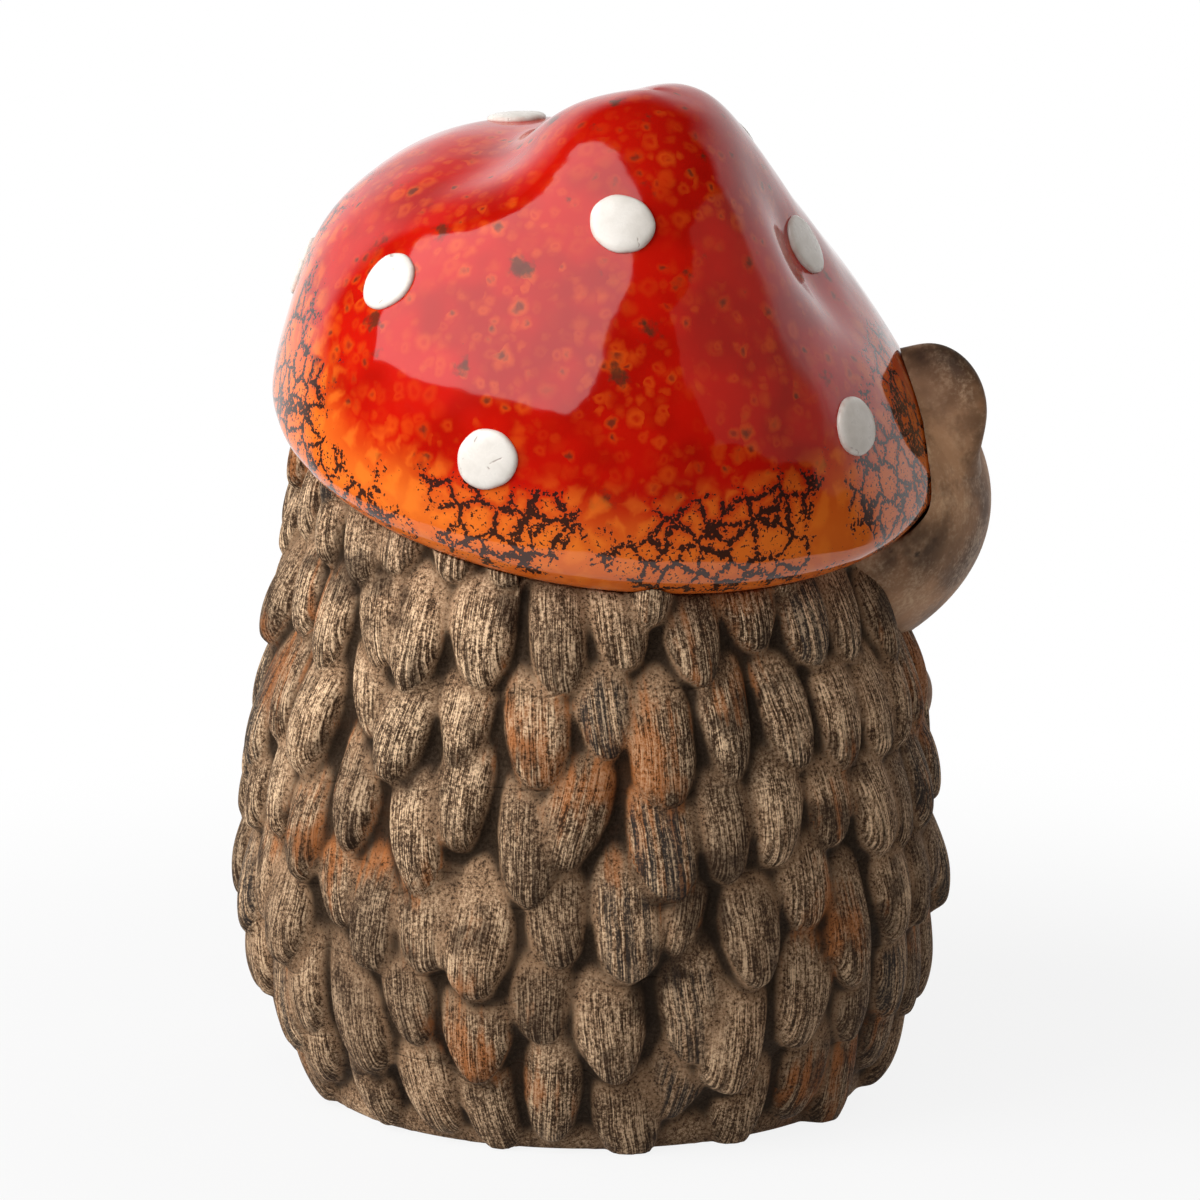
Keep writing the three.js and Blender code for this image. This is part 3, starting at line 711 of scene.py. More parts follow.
def ray_cast(target, start, way, length, trait=None):
    """Rays from points along a way onto a target: the outputs of the node that follows them."""
    inputs = {"Source Position": start, "Ray Direction": way, "Ray Length": length}
    inputs["Target Geometry"] = target
    if trait is not None:
        inputs["Attribute"] = trait
    outputs = add_node(target.tree, "GeometryNodeRaycast", inputs, data_type="FLOAT_VECTOR").outputs
    return {name: Field(outputs[name]) for name in ("Is Hit", "Hit Position", "Hit Distance", "Attribute")}


def close_tree(geometry, material):
    """End a geometry tree: one real mesh with its material."""
    real = made(geometry.tree, "GeometryNodeRealizeInstances", {"Geometry": geometry})
    dressed = made(geometry.tree, "GeometryNodeSetMaterial", {"Geometry": real, "Material": material})
    add_node(geometry.tree, "NodeGroupOutput", {"Geometry": dressed})
    print(geometry.tree.name, "has", len(geometry.tree.nodes), "nodes")


def use_tree(thing, tree, values):
    """Run a geometry tree on an object with the given inputs and keep the result as a plain mesh."""
    modifier = thing.modifiers.new(tree.name, "NODES")
    modifier.node_group = tree
    for item in tree.interface.items_tree:
        if item.in_out == "INPUT" and item.name in values:
            modifier[item.identifier] = values[item.name]
    return settled(thing)


print("geometry helpers are ready")

# %% Tree that lays the quills and lets the clay settle on them
DROP_HEIGHT = 16.0
VALLEY_BLEND = 1.2
tree, given = new_geometry_tree("settled_quills", {
    "Quill roots": "Object",
    "Quill forms": "Collection",
    "Valley depth": "Float",
    "Soften rounds": "Int",
    "Valley rounds": "Int",
    "Hollow rounds": "Int",
    "Seed": "Int",
    "Clay": "Material",
})
laid = made(tree, "GeometryNodeInstanceOnPoints", {
    "Points": made(tree, "GeometryNodeObjectInfo", {"Object": given["Quill roots"]}, "Geometry"),
    "Instance": made(tree, "GeometryNodeCollectionInfo", {
        "Collection": given["Quill forms"],
        "Separate Children": True,
        "Reset Children": True,
    }),
    "Pick Instance": True,
    "Instance Index": named(tree, "form", "INT"),
    "Rotation": made(tree, "FunctionNodeEulerToRotation", {0: named(tree, "turn", "FLOAT_VECTOR")}),
    "Scale": named(tree, "size", "FLOAT_VECTOR"),
})
chance = made(tree, "FunctionNodeRandomValue", {"Seed": given["Seed"]}, 1, data_type="FLOAT")
marked = store(laid, "chance", chance, domain="INSTANCE")
quills = made(tree, "GeometryNodeRealizeInstances", {"Geometry": marked})

traits = ("along", "across", "chance")
trait = made(tree, "ShaderNodeCombineXYZ", {axis: named(tree, name) for axis, name in enumerate(traits)})
place = made(tree, "GeometryNodeInputPosition")
out = named(tree, "out", "FLOAT_VECTOR")
above = vector("ADD", place, vector("SCALE", out, DROP_HEIGHT * MM))
drop = ray_cast(quills, above, vector("SCALE", out, -1.0), DROP_HEIGHT * MM, trait)
rise = (DROP_HEIGHT - drop["Hit Distance"] / MM) * drop["Is Hit"]
coat = store(given["Geometry"], "trait", drop["Attribute"], "FLOAT_VECTOR")
coat = store(coat, "height", calc("MAXIMUM", rise, named(tree, "bed")))
height = named(tree, "height")
soft = blurred(height, given["Soften rounds"])
valley_floor = blurred(height, given["Valley rounds"]) - given["Valley depth"]
coat = store(coat, "height", calc("SMOOTH_MAX", soft, valley_floor, VALLEY_BLEND))
coat = store(coat, "height", blurred(height, given["Soften rounds"]))
coat = store(coat, "hollow", blurred(height, given["Hollow rounds"]) - height)
parts = add_node(tree, "ShaderNodeSeparateXYZ", {0: named(tree, "trait", "FLOAT_VECTOR")}).outputs
for axis, name in enumerate(traits):
    coat = store(coat, name, Field(parts[axis]))
lifted = vector("SCALE", out, height * MM)
coat_tree = tree
close_tree(made(tree, "GeometryNodeSetPosition", {"Geometry": coat, "Offset": lifted}), given["Clay"])

# %% [markdown]
# ## Bisque paint for the quills
# The clay is unglazed. A dark wash was wiped over it, then a dry brush with tan paint was dragged along the
# quills, and some places were stained with rust or charcoal. The paint reads what each point remembers: fine
# broken brush lines run along the crown of a quill, roots and valleys keep a dusty tan, dark streaks gather
# towards the tips, and the deepest grooves are painted near black, dark wash and painted shade in one. Upper
# quills are painted lighter than lower ones. A fine grain over everything stands for the open pores of the
# clay.

# %% Quill paint
DARK_WASH_AND_SHADE = colour(0.014, 0.008, 0.004)
UMBER = colour(0.024, 0.012, 0.006)
EARTH = colour(0.270, 0.156, 0.084)
TAN = colour(0.810, 0.572, 0.358)
RUST = colour(0.340, 0.110, 0.027)
CHARCOAL = colour(0.028, 0.023, 0.020)
LIGHTER_FROM, LIGHTER_TO = 30 * MM, 115 * MM

quill_paint, tree, place = new_paint("quill_bisque")
along, across, luck, hollow = (read(tree, name) for name in ("along", "across", "chance", "hollow"))
wander = (noise(place, 120) - 0.5) * 2.4
brush_place = made(tree, "ShaderNodeCombineXYZ", {0: across * 13.5 + wander, 1: along * 2.2, 2: luck * 60})
brush = noise(brush_place, 1.55, 4, 0.70)
grain = noise(place, 1700, 3, 0.8)
cloud = noise(place, 210, 3, 0.6)
scored = ease(hollow, 0.5, -0.2) * ease(along, 0.18, 0.50)
strokes = made(tree, "ShaderNodeMix", {0: scored, 2: 0.5, 3: brush}, data_type="FLOAT")
tone = strokes * 0.47 + grain * 0.41 + cloud * 0.12
stain = noise(place, 30) + cloud * 0.25 + noise(brush_place, 0.30) * 0.40
tip_wash = ease(noise(brush_place, 0.80), 0.48, 0.60) * ease(along, 0.55, 0.95, 0.0, 0.8)
smudge = calc("MAXIMUM", ease(noise(place, 62, 3, 0.62), 0.53, 0.66, 0.0, 0.80), tip_wash)
dry = ease(tone, 0.485, 0.58) * ease(hollow, 0.45, -0.45, 0.35, 1.0)
dry = dry * ease(stain, 0.88, 1.00, 0.90, 0.40) * ease(luck, 0.45, 0.95, 1.0, 0.55)
dry = dry * ease(smudge, 0.0, 0.8, 1.0, 0.30)
above_table = made(tree, "ShaderNodeSeparateXYZ", {0: place}, 2)
# Dry brush grows stronger towards the top, so upper quills are painted lighter
dry = calc("MULTIPLY", dry, ease(above_table, LIGHTER_FROM, LIGHTER_TO, 0.92, 1.25), clamp=True)
coal = ease(noise(brush_place, 0.45), 0.45, 0.53) * scored * ease(luck, 0.18, 0.12)
base = layered(
    EARTH,
    (ease(noise(place, 36, 3, 0.55), 0.36, 0.66, 0.0, 0.50), UMBER),
    (smudge, UMBER),
    (ease(luck, 0.45, 0.95, 0.0, 0.55) * scored, UMBER),
    (ease(stain, 0.88, 1.02, 0.0, 0.85), RUST),
    (dry, TAN),
    (ease(tone, 0.495, 0.44, 0.0, 0.93), UMBER),
    (coal * ease(tone, 0.46, 0.56, 0.95, 0.45), CHARCOAL),
    # Deepest grooves painted near black: dark wash and painted shade in one
    (ease(hollow + grain * 0.8, 0.66, 1.50, 0.0, 0.92), DARK_WASH_AND_SHADE),
)
close_paint(base, ease(tone, 0.4, 0.6, 0.85, 0.66), 0.15, strokes * 0.9 + grain * 0.5, 0.8, 0.5 * MM)
print("quill paint has", len(tree.nodes), "nodes")

# %% [markdown]
# ## Lay the rows
# Each row hangs from a line of roots on the barrel, and its tips ride over the roots of the row below. The
# places repeat the CAD source's own rule, so every row lies where its solid lies; only the lean, length and
# form of single quills are livelier here. One sheet covers the whole coat while the clay settles, so that
# rows melt into each other; it is then cut along the tips into one closed strip for each row, whose ends
# roll in towards the belly.

# %% Rule of the rows
QUILL_LENGTH = 22.5
QUILL_SPACING = 13.0
QUILL_THICKNESS = 4.2
ROW_PITCH = 17.5
FIRST_TIP = 2.5
SEAT_GAP = 0.3
TIP_LIFT = 4.68
TIP_SCATTER = 1.2
STRIP_LENGTH = QUILL_LENGTH + 2 * TIP_SCATTER
BELLY_EDGE = 138
CHEEK_EDGE = 106
ROW_SPANS = [(-BELLY_EDGE, BELLY_EDGE)] * 5
ROW_SPANS += [(-CHEEK_EDGE, CHEEK_EDGE), (-CHEEK_EDGE, 24), (-CHEEK_EDGE, -38)]
ROW_STAGGER = 0.25
SIDE_SCATTER = 0.12
LEAN_SCATTER = 0.22
SLIDE_SCATTER = 3.6
WIDTH_SCATTER = 0.12
RISE_SCATTER = 0.9
RISE_LOSS = 0.5
ZIGZAG = 2.2
ROOT_REACH = 6.0


def scatter(row, index, trait):
    """A repeatable scatter between -1 and 1 for one quill's trait."""
    wave = math.sin(row * 127.1 + index * 311.7 + trait * 74.7) * 43758.5453
    return 2 * (wave - math.floor(wave)) - 1


def row_back(row):
    """Root line, tip line, downward and outward directions of a row, as radius and height."""
    tip_distance = FIRST_TIP + row * ROW_PITCH
    root = barrel_point(tip_distance + STRIP_LENGTH)
    tip = barrel_point(tip_distance)
    outward = unit(np.array([root[1] - tip[1], tip[0] - root[0]]))
    root = root + SEAT_GAP * outward
    tip = tip + TIP_LIFT * outward
    down = unit(tip - root)
    return root, tip, down, np.array([-down[1], down[0]])


def quills_of(row):
    """Angle, width, length, rise, lean, slide and form of each quill in a row, also under the rim."""
    from_angle, to_angle = ROW_SPANS[row]
    root, tip, down, outward = row_back(row)
    count = math.ceil(math.radians(to_angle - from_angle) * max(root[0], tip[0]) / QUILL_SPACING)
    step = (to_angle - from_angle) / count
    across_step = math.radians(step) * (root[0] * 0.4 + tip[0] * 0.6)
    stagger = ROW_STAGGER if row % 2 else -ROW_STAGGER
    laid = math.ceil((max(to_angle, CHEEK_EDGE) - from_angle) / step)
    quills = []
    for index in range(laid):
        strayed = index + 0.5 + stagger + SIDE_SCATTER * scatter(row, index, 1)
        quills.append({
            "angle": from_angle + strayed * step,
            "width": across_step * (1.0 + WIDTH_SCATTER * scatter(row, index, 5)),
            "length": QUILL_LENGTH + TIP_SCATTER * (1 + scatter(row, index, 3)),
            "rise": QUILL_THICKNESS - RISE_LOSS + RISE_SCATTER * scatter(row, index, 4),
            "lean": LEAN_SCATTER * across_step / QUILL_LENGTH * scatter(row, index, 2),
            "slide": SLIDE_SCATTER * scatter(row, index, 7) + (ZIGZAG if index % 2 else -ZIGZAG),
            "form": int((scatter(row, index, 6) + 1) / 2 * len(QUILL_FORMS)) % len(QUILL_FORMS),
        })
    return quills


print("quills in the rows:", [len(quills_of(row)) for row in range(len(ROW_SPANS))])

# %% Roots of all quills
places, turns, sizes, forms = [], [], [], []
for row in range(len(ROW_SPANS)):
    root, tip, down, outward = row_back(row)
    for quill in quills_of(row):
        angle = quill["angle"]
        out = Vector(round_point(angle, *outward))
        fall = Matrix.Rotation(quill["lean"], 3, out) @ Vector(round_point(angle, *down))
        axes = Matrix((fall.cross(out), fall, out)).transposed()
        start = round_point(angle, *(root + down * quill["slide"])) - ROOT_REACH * np.array(fall)
        places.append(in_frame(start))
        turns.append(tuple(axes.to_euler()))
        sizes.append((quill["width"] * MM, (quill["length"] + ROOT_REACH) * MM, quill["rise"] * MM))
        forms.append(quill["form"])
root_mesh = new_mesh("quill_roots", places)
carry(root_mesh, "turn", turns, "FLOAT_VECTOR")
carry(root_mesh, "size", sizes, "FLOAT_VECTOR")
carry(root_mesh, "form", np.array(forms, np.int32), "INT")
quill_roots = new_object("quill_roots", root_mesh)
print(len(places), "quills in all")

# %% Sheet of clay over the whole coat
COLUMN_STEP = 0.5
ROW_LINES = 34
EDGE_MARGIN = 3.0
TIP_ROUNDING = 7.0
SKIRT_DEPTH = 3.6
BED_DEPTH = 0.6
COLLAR_DEPTH = 1.8
SEAT_OVERLAP = 2.5
SEAT_FROM = 80
SEAT_STEPS = 400
COAT_DEPTH = 5.0
FOOT_LINE = 0.6
RIM_SHARE, RIM_STEPS = 0.22, 60
TANGENT_REACH = 0.5
TIP_BLUR = 5
PAST_ROOTS = 10
LEAST_ROW = 0.5
COLLAR_REACH = (9.0, 2.0)
SKIRT_REACH = (14.0, 4.0)
coat_columns = int(2 * (BELLY_EDGE + EDGE_MARGIN) / COLUMN_STEP) + 1
coat_angles = np.linspace(-BELLY_EDGE - EDGE_MARGIN, BELLY_EDGE + EDGE_MARGIN, coat_columns)
hat_up = np.array(hat_turn.to_3x3() @ Vector((0, 0, 1)))
rim_line = spline(RIDGE_SIDE, np.linspace(0, RIM_SHARE, RIM_STEPS)) * (HAT_RADIUS, HAT_RISE)


def above_hat_seat(points):
    """Height of points above the underside of the hat and of its rounded rim, in millimetres."""
    away = points - np.array(HAT_SHIFT)
    height = away @ hat_up
    radius = np.sqrt(np.maximum((away**2).sum(-1) - height**2, 0))
    return height - np.interp(radius, rim_line[:, 0], rim_line[:, 1])


def barrel_grid(angles, distances):
    """Points on the barrel at angles and distances up its profile, with their outward directions."""
    flat = barrel_point(distances)
    tangent = unit(barrel_point(distances + TANGENT_REACH) - barrel_point(distances - TANGENT_REACH))
    out = round_point(angles, tangent[..., 1], -tangent[..., 0])
    return round_point(angles, flat[..., 0], flat[..., 1]), out


def tip_line(row):
    """Where a row's rounded tips end, as distances up the barrel for every column."""
    tip_distance = FIRST_TIP + row * ROW_PITCH
    line = np.full(coat_columns, tip_distance + TIP_ROUNDING)
    radius = barrel_point(tip_distance)[0]
    for quill in quills_of(row):
        end = tip_distance + STRIP_LENGTH - quill["slide"] - quill["length"]
        aside = np.radians(coat_angles - quill["angle"]) * radius + math.sin(quill["lean"]) * quill["length"]
        inside = np.clip(1 - (aside / (QUILL_HALF * quill["width"])) ** 2, 0, 1)
        line = np.minimum(line, end + TIP_ROUNDING * (1 - np.sqrt(inside)))
    padded = np.pad(line, TIP_BLUR // 2, mode="edge")
    smooth = np.convolve(padded, np.ones(TIP_BLUR) / TIP_BLUR, mode="valid")
    return np.where(present(row), smooth, tip_distance + STRIP_LENGTH + PAST_ROOTS)


def present(row):
    """Which columns a row covers."""
    from_angle, to_angle = ROW_SPANS[row]
    return (coat_angles >= from_angle - EDGE_MARGIN) & (coat_angles <= to_angle + EDGE_MARGIN)


def seat_line():
    """Distance up the barrel at which each column meets the underside of the hat."""
    distances = np.linspace(SEAT_FROM, profile_length[-1], SEAT_STEPS)
    grid, out = barrel_grid(coat_angles[:, None], np.broadcast_to(distances, (coat_columns, SEAT_STEPS)))
    below = above_hat_seat(grid + COAT_DEPTH * out) < SEAT_OVERLAP
    return distances[np.minimum(below.sum(axis=1), SEAT_STEPS - 1)]


row_lines = [tip_line(row) for row in range(len(ROW_SPANS))]
row_lines.append(np.full(coat_columns, FIRST_TIP + len(ROW_SPANS) * ROW_PITCH + STRIP_LENGTH))
under_hat = seat_line()
row_lines = [np.minimum(line, under_hat) for line in row_lines]
for row in range(len(ROW_SPANS), 0, -1):
    row_lines[row - 1] = np.minimum(row_lines[row - 1], row_lines[row] - LEAST_ROW)
row_lines[0] = np.full(coat_columns, FOOT_LINE)
shares = np.linspace(0, 1, ROW_LINES, endpoint=False)
distances = [low + (high - low) * share for low, high in zip(row_lines, row_lines[1:]) for share in shares]
distances = np.array(distances + [row_lines[-1]])
base_points, base_out = barrel_grid(np.broadcast_to(coat_angles, distances.shape), distances)
lines, columns = distances.shape
index = np.arange(lines * columns).reshape(lines, columns)
corners = [index[:-1, :-1], index[:-1, 1:], index[1:, 1:], index[1:, :-1]]
faces = np.stack(corners, -1).reshape(-1, 4)
sheet_mesh = new_mesh("coat_sheet", in_frame(base_points).reshape(-1, 3).tolist(), faces.tolist())
carry(sheet_mesh, "out", base_out, "FLOAT_VECTOR")
bed = BED_DEPTH + COLLAR_DEPTH * smooth_step(under_hat - distances, *COLLAR_REACH)
carry(sheet_mesh, "bed", np.maximum(bed, SKIRT_DEPTH * smooth_step(distances, *SKIRT_REACH)))
sheet = use_tree(new_object("coat_sheet", sheet_mesh), coat_tree, {
    "Quill roots": quill_roots,
    "Quill forms": quill_forms,
    "Valley depth": 1.7,
    "Soften rounds": 2,
    "Valley rounds": 55,
    "Hollow rounds": 40,
    "Seed": 3,
    "Clay": quill_paint,
})
print("sheet has", lines, "lines and", columns, "columns")

# %% Cut the sheet into rows
BACK_LINES = 4
BACK_LIFT = 0.15
EDGE_ROUND = 5.0
RIM_GAP = 0.1
TABLE_GAP = 0.2


def sheet_values(name):
    """One value of the settled sheet for every line and column."""
    values = np.empty(lines * columns)
    sheet.data.attributes[name].data.foreach_get("value", values)
    return values.reshape(lines, columns)


settled_points = points_of(sheet.data).reshape(lines, columns, 3) / MM - axis_mm
from_edge = BELLY_EDGE + EDGE_MARGIN - np.abs(coat_angles)
rolled = np.sqrt(1 - np.clip(1 - from_edge / EDGE_ROUND, 0, 0.99) ** 2)[:, None]
settled_points = base_points + (settled_points - base_points) * rolled
over = np.maximum(above_hat_seat(settled_points) + RIM_GAP, 0)
settled_points = settled_points - over[..., None] * hat_up
settled_points[..., 2] = np.maximum(settled_points[..., 2], TABLE_GAP)
sheet_traits = {name: sheet_values(name) for name in traits + ("hollow",)}
for row in range(len(ROW_SPANS)):
    first = row * ROW_LINES
    last = first + ROW_LINES
    use = np.flatnonzero(present(row))
    front = settled_points[first:last + 1, use]
    back_at = np.linspace(last, first, BACK_LINES).astype(int)
    back = base_points[back_at][:, use] + BACK_LIFT * base_out[back_at][:, use]
    back[..., 2] = np.maximum(back[..., 2], TABLE_GAP / 2)
    rings = in_frame(np.concatenate([front, back]).transpose(1, 0, 2))
    node = f"quill_row_{row + 1:02d}"
    strip_mesh = closed_skin(node, rings, rings[0].mean(axis=0), rings[-1].mean(axis=0))
    for name, values in sheet_traits.items():
        own = np.concatenate([values[first:last + 1, use], values[back_at][:, use]]).T
        carry(strip_mesh, name, np.append(own.ravel(), [0, 0]))
    strip = new_object(node + "_clay", strip_mesh)
    finish_piece(strip, quill_paint, "quill_bisque", node)
    corner_count = ROW_LINES + 1 + BACK_LINES
    hidden_face = np.zeros(len(strip_mesh.polygons), bool)
    ring_faces = (len(use) - 1) * corner_count
    hidden_face[:ring_faces] = np.tile(np.arange(corner_count) >= ROW_LINES, len(use) - 1)
    hidden_face[ring_faces:] = True
    strip_mesh.polygons.foreach_set("use_smooth", ~hidden_face)
for thing in [sheet, quill_roots] + QUILL_FORMS:
    bpy.data.objects.remove(thing)
bpy.data.collections.remove(quill_forms)

# %% Skin of the hat
HAT_SIDES = 288
HAT_LEVELS = 190
INNER_LEVELS = 40
TIP_ROUNDS = 160
TIP_EASE = 0.25
TIP_ZONE = (0.90, 0.98)
RIPPLE_FROM = 0.12
UNDERSIDE = (40.0, 48.0)
LIP = 0.4
round_angles = np.linspace(0, 360, HAT_SIDES, endpoint=False)


def hat_ring(share, growth=0.0, angles=round_angles):
    """One ring of the hat's skin."""
    return hat_side(angles, np.full(len(angles), share), growth)


def level_ring(radius, height=0.0):
    """A level ring about the hat's own axis."""
    return round_point(round_angles, radius, height)


outer_shares = np.linspace(0, 1, HAT_LEVELS + 1)[:-1]
outer = []
for share in outer_shares:
    ring = hat_ring(share)
    swell = ripple(ring) / HAT_RADIUS * smooth_step(np.float64(share), 0.0, RIPPLE_FROM)
    outer.append(ring * (1 + swell)[:, None])
outer = np.array(outer)
ease_tip = TIP_EASE * smooth_step(outer_shares, *TIP_ZONE)[:, None, None]
for turn in range(TIP_ROUNDS):
    tip = np.broadcast_to(outer[-1].mean(axis=0), outer[-1:].shape)
    above = np.concatenate([outer[1:], tip])
    below = np.concatenate([outer[:1], outer[:-1]])
    beside = np.roll(outer, 1, axis=1) + np.roll(outer, -1, axis=1)
    outer = outer + ease_tip * (above + below + beside - 4 * outer)
inner = [hat_ring(share, -HAT_WALL) for share in np.linspace(1, 0, INNER_LEVELS + 1)[1:]]
mouth = [level_ring(HAT_MOUTH, HAT_WALL), level_ring(HAT_MOUTH, LIP), level_ring(HAT_MOUTH + LIP)]
under = [level_ring(radius) for radius in UNDERSIDE]
rings = inner + mouth + under + list(outer)
inner_tip = hat_to_frame(hat_tip(-HAT_WALL))
outer_tip = hat_to_frame(outer[-1].mean(axis=0))
hat_mesh = closed_skin("mushroom_cap", [hat_to_frame(ring) for ring in rings], inner_tip, outer_tip)
hidden = (len(rings) - len(outer)) * HAT_SIDES
tall = np.concatenate([ring[:, 2] for ring in outer]) / HAT_RISE
rise = np.concatenate([np.zeros(hidden), tall, [0.0, 1.0]])
rounds = np.concatenate([np.tile(np.radians(round_angles), len(rings)), [0.0, 0.0]])
for name, values in (("rise", rise), ("round_x", np.cos(rounds)), ("round_y", np.sin(rounds))):
    carry(hat_mesh, name, values)
hat = new_object("mushroom_cap_glazed", hat_mesh)
print("hat skin has", len(hat_mesh.polygons), "faces")

# %% [markdown]
# ## Red reactive glaze
# The glaze breaks as it runs: deep red on the upper part with soft orange mottles, some with a dark heart,
# and a few dark specks; orange in a band above the rim, which climbs high on the lobe, where the thin glaze
# tore into a black foam round bare cells. Each effect is a cell pattern of its own scale. The foam is a
# speckle that grows denser towards the walls between its cells, so that it breaks up into blobs as the real
# one does.

# %% Glaze
DEEP_RED = colour(0.47, 0.006, 0.002)
BLOOD = colour(0.25, 0.003, 0.001)
BLOOM = colour(0.68, 0.105, 0.008)
ORANGE = colour(0.66, 0.125, 0.013)
CELL_ORANGE = colour(0.80, 0.195, 0.018)
RIM_ORANGE = colour(0.42, 0.070, 0.006)
SOOT = colour(0.014, 0.010, 0.008)
OLIVE = colour(0.050, 0.022, 0.010)
LOBE_WAY = (0.26, -0.966)
FACE_WAY = (-0.5, 0.866)
BAND = 0.22

glaze, tree, place = new_paint("red_glaze")
height, round_x, round_y = (read(tree, name) for name in ("rise", "round_x", "round_y"))
band = BAND
for (way_x, way_y), climb in ((LOBE_WAY, 0.32), (FACE_WAY, 0.16)):
    facing = calc("MAXIMUM", round_x * way_x + round_y * way_y, 0.0)
    band = calc("POWER", facing, 3.0) * climb + band
level = (height + (noise(place, 40, 3, 0.55) - 0.5) * 0.20) / band
red_share = ease(level, 0.54, 1.28)
warp = made(tree, "ShaderNodeTexNoise", {"Vector": place, "Scale": 380, "Detail": 2}, 1)
warp = vector("SUBTRACT", warp, (0.5, 0.5, 0.5))
bent = vector("ADD", place, vector("SCALE", warp, 2.2 * MM))

dusk = calc("MAXIMUM", ease(noise(place, 65), 0.40, 0.66), ease(height, 0.78, 1.0, 0.0, 0.9))
frayed = (noise(place, 520, 3, 0.6) - 0.5) * 0.55
mottle, dark_heart = 0.0, 0.0
for scale, weight in ((235, 0.52), (360, 0.42)):
    far, fate = cells(bent, scale)[:2]
    ring = ease(far, 0.58, 0.18, 0.0, weight) * ease(far, 0.04, 0.28, 0.25, 1.0)
    mottle = calc("MAXIMUM", mottle, ring * ease(fate, 0.15, 0.85))
    dot = ease(far + frayed, 0.34, 0.06) * ease(fate, 0.76, 0.90, 0.0, 0.72)
    dark_heart = calc("MAXIMUM", dark_heart, dot)
far, fate, size = cells(bent, 92)
pit = ease(far + frayed - ease(size, 0.2, 1.0, 0.03, 0.17), 0.09, -0.09) * ease(fate, 0.08, 0.16, 0.0, 0.8)

foam = cell_walls(bent, 190)
gathers = ease(noise(place, 55), 0.37, 0.50)
zone = ease(height, 0.025, 0.06) * ease(level, 1.40, 1.00)
near_wall = ease(foam, 0.14, 0.02) * gathers * zone
strewn = ease(gathers, 0.0, 1.0, 0.35, 1.0) * zone
needed = 0.80 - near_wall * 0.22 - strewn * 0.195
soot = ease(noise(place, 1500, 2, 0.6) - needed, -0.012, 0.018)
clay_under = ease(height, 0.0025, 0.0008)
base = layered(
    ORANGE,
    (red_share, DEEP_RED),
    (dusk * red_share * 0.55, BLOOD),
    (mottle * ease(noise(place, 50), 0.36, 0.60, 0.35, 1.0) * red_share, BLOOM),
    (dark_heart * red_share, OLIVE),
    (pit * red_share, OLIVE),
    (ease(foam, 0.08, 0.3) * zone * 0.45, CELL_ORANGE),
    (soot * 0.95, SOOT),
    (ease(height, 0.030, 0.012), RIM_ORANGE),
    (clay_under, EARTH),
)
swell = noise(place, 120) - soot * 0.10
close_paint(base, ease(clay_under, 0.0, 1.0, 0.07, 0.7), 0.5, swell, 0.3, 0.3 * MM)
finish_piece(hat, glaze, "red_glaze", "mushroom_cap")

# %% [markdown]
# ## Bare skin clay
# Face, ears, paws and belly are the same clay without quills: a satin brown with darker smudges where the
# wash was not wiped off, dark flecks, painted shade along the hat's rim, dark wash on the tops of the ears,
# and a paler belly and muzzle. As on the quills, hollows are painted dark, dark wash and painted shade in
# one, so the paint has to know where the clay is hollow. A small tree measures
# that on any mesh, by comparing each point with its blurred place.

# %% Tree that measures hollows
hollow_tree, given = new_geometry_tree("clay_hollows", {"Hollow rounds": "Int", "Clay": "Material"})
place = made(hollow_tree, "GeometryNodeInputPosition")
normal = made(hollow_tree, "GeometryNodeInputNormal")
around = blurred(place, given["Hollow rounds"], "FLOAT_VECTOR")
sunk = vector("DOT_PRODUCT", vector("SUBTRACT", around, place), normal) / MM
close_tree(store(given["Geometry"], "hollow", sunk), given["Clay"])

# %% Skin paint
SKIN_DARK = colour(0.112, 0.055, 0.027)
SKIN_MID = colour(0.480, 0.262, 0.140)
SKIN_PALE = colour(0.510, 0.340, 0.212)

skin_paint, tree, place = new_paint("skin_bisque")
hollow, pale = read(tree, "hollow"), read(tree, "pale")
grain = noise(place, 1150, 3, 0.7)
patch = noise(place, 44, 3, 0.55)
streak = noise(place, 190, 3, 0.6)
rubbed = streak * 0.6 + grain * 0.7
smudge = ease(noise(place, 70, 3, 0.6), 0.60, 0.74)
far, fate = cells(place, 150)[:2]
base = layered(
    SKIN_MID,
    (ease(patch, 0.30, 0.66), SKIN_DARK),
    (calc("MULTIPLY", pale, ease(patch, 0.35, 0.7, 0.95, 0.6), clamp=True), SKIN_PALE),
    (ease(rubbed, 0.58, 0.92) * ease(hollow, 0.10, -0.25, 0.12, 0.45), TAN),
    (smudge * ease(streak, 0.4, 0.6, 0.35, 0.85), DARK_WASH_AND_SHADE),
    (ease(noise(place, 110, 4, 0.65), 0.46, 0.66, 0.0, 0.60), SKIN_DARK),
    (ease(far + grain * 0.12, 0.23, 0.15) * ease(fate, 0.62, 0.66, 0.0, 0.85), DARK_WASH_AND_SHADE),
    # Pale below zero: painted shade along the hat's rim, and dark wash on the ear tops
    (ease(pale, 0.0, -1.0) * ease(streak, 0.35, 0.65, 0.95, 0.55), DARK_WASH_AND_SHADE),
    (ease(noise(place, 58), 0.60, 0.74, 0.0, 0.45), RUST),
    # Hollows painted dark: dark wash and painted shade in one
    (ease(hollow, 0.10, 0.55) * ease(grain, 0.25, 0.6, 0.95, 0.7), DARK_WASH_AND_SHADE),
)
close_paint(base, ease(rubbed, 0.4, 0.9, 0.66, 0.5), 0.2, streak * 0.5 + grain * 0.3, 0.6, 0.3 * MM)
print("skin paint has", len(tree.nodes), "nodes")

# %% [markdown]
# ## The body shell
# The barrel is a hollow casting that stands on an open foot ring. In front a smooth belly swells out of it.
# The wall is one band of sections round the axis: up the outside, over the seat of the hat, down the inside.

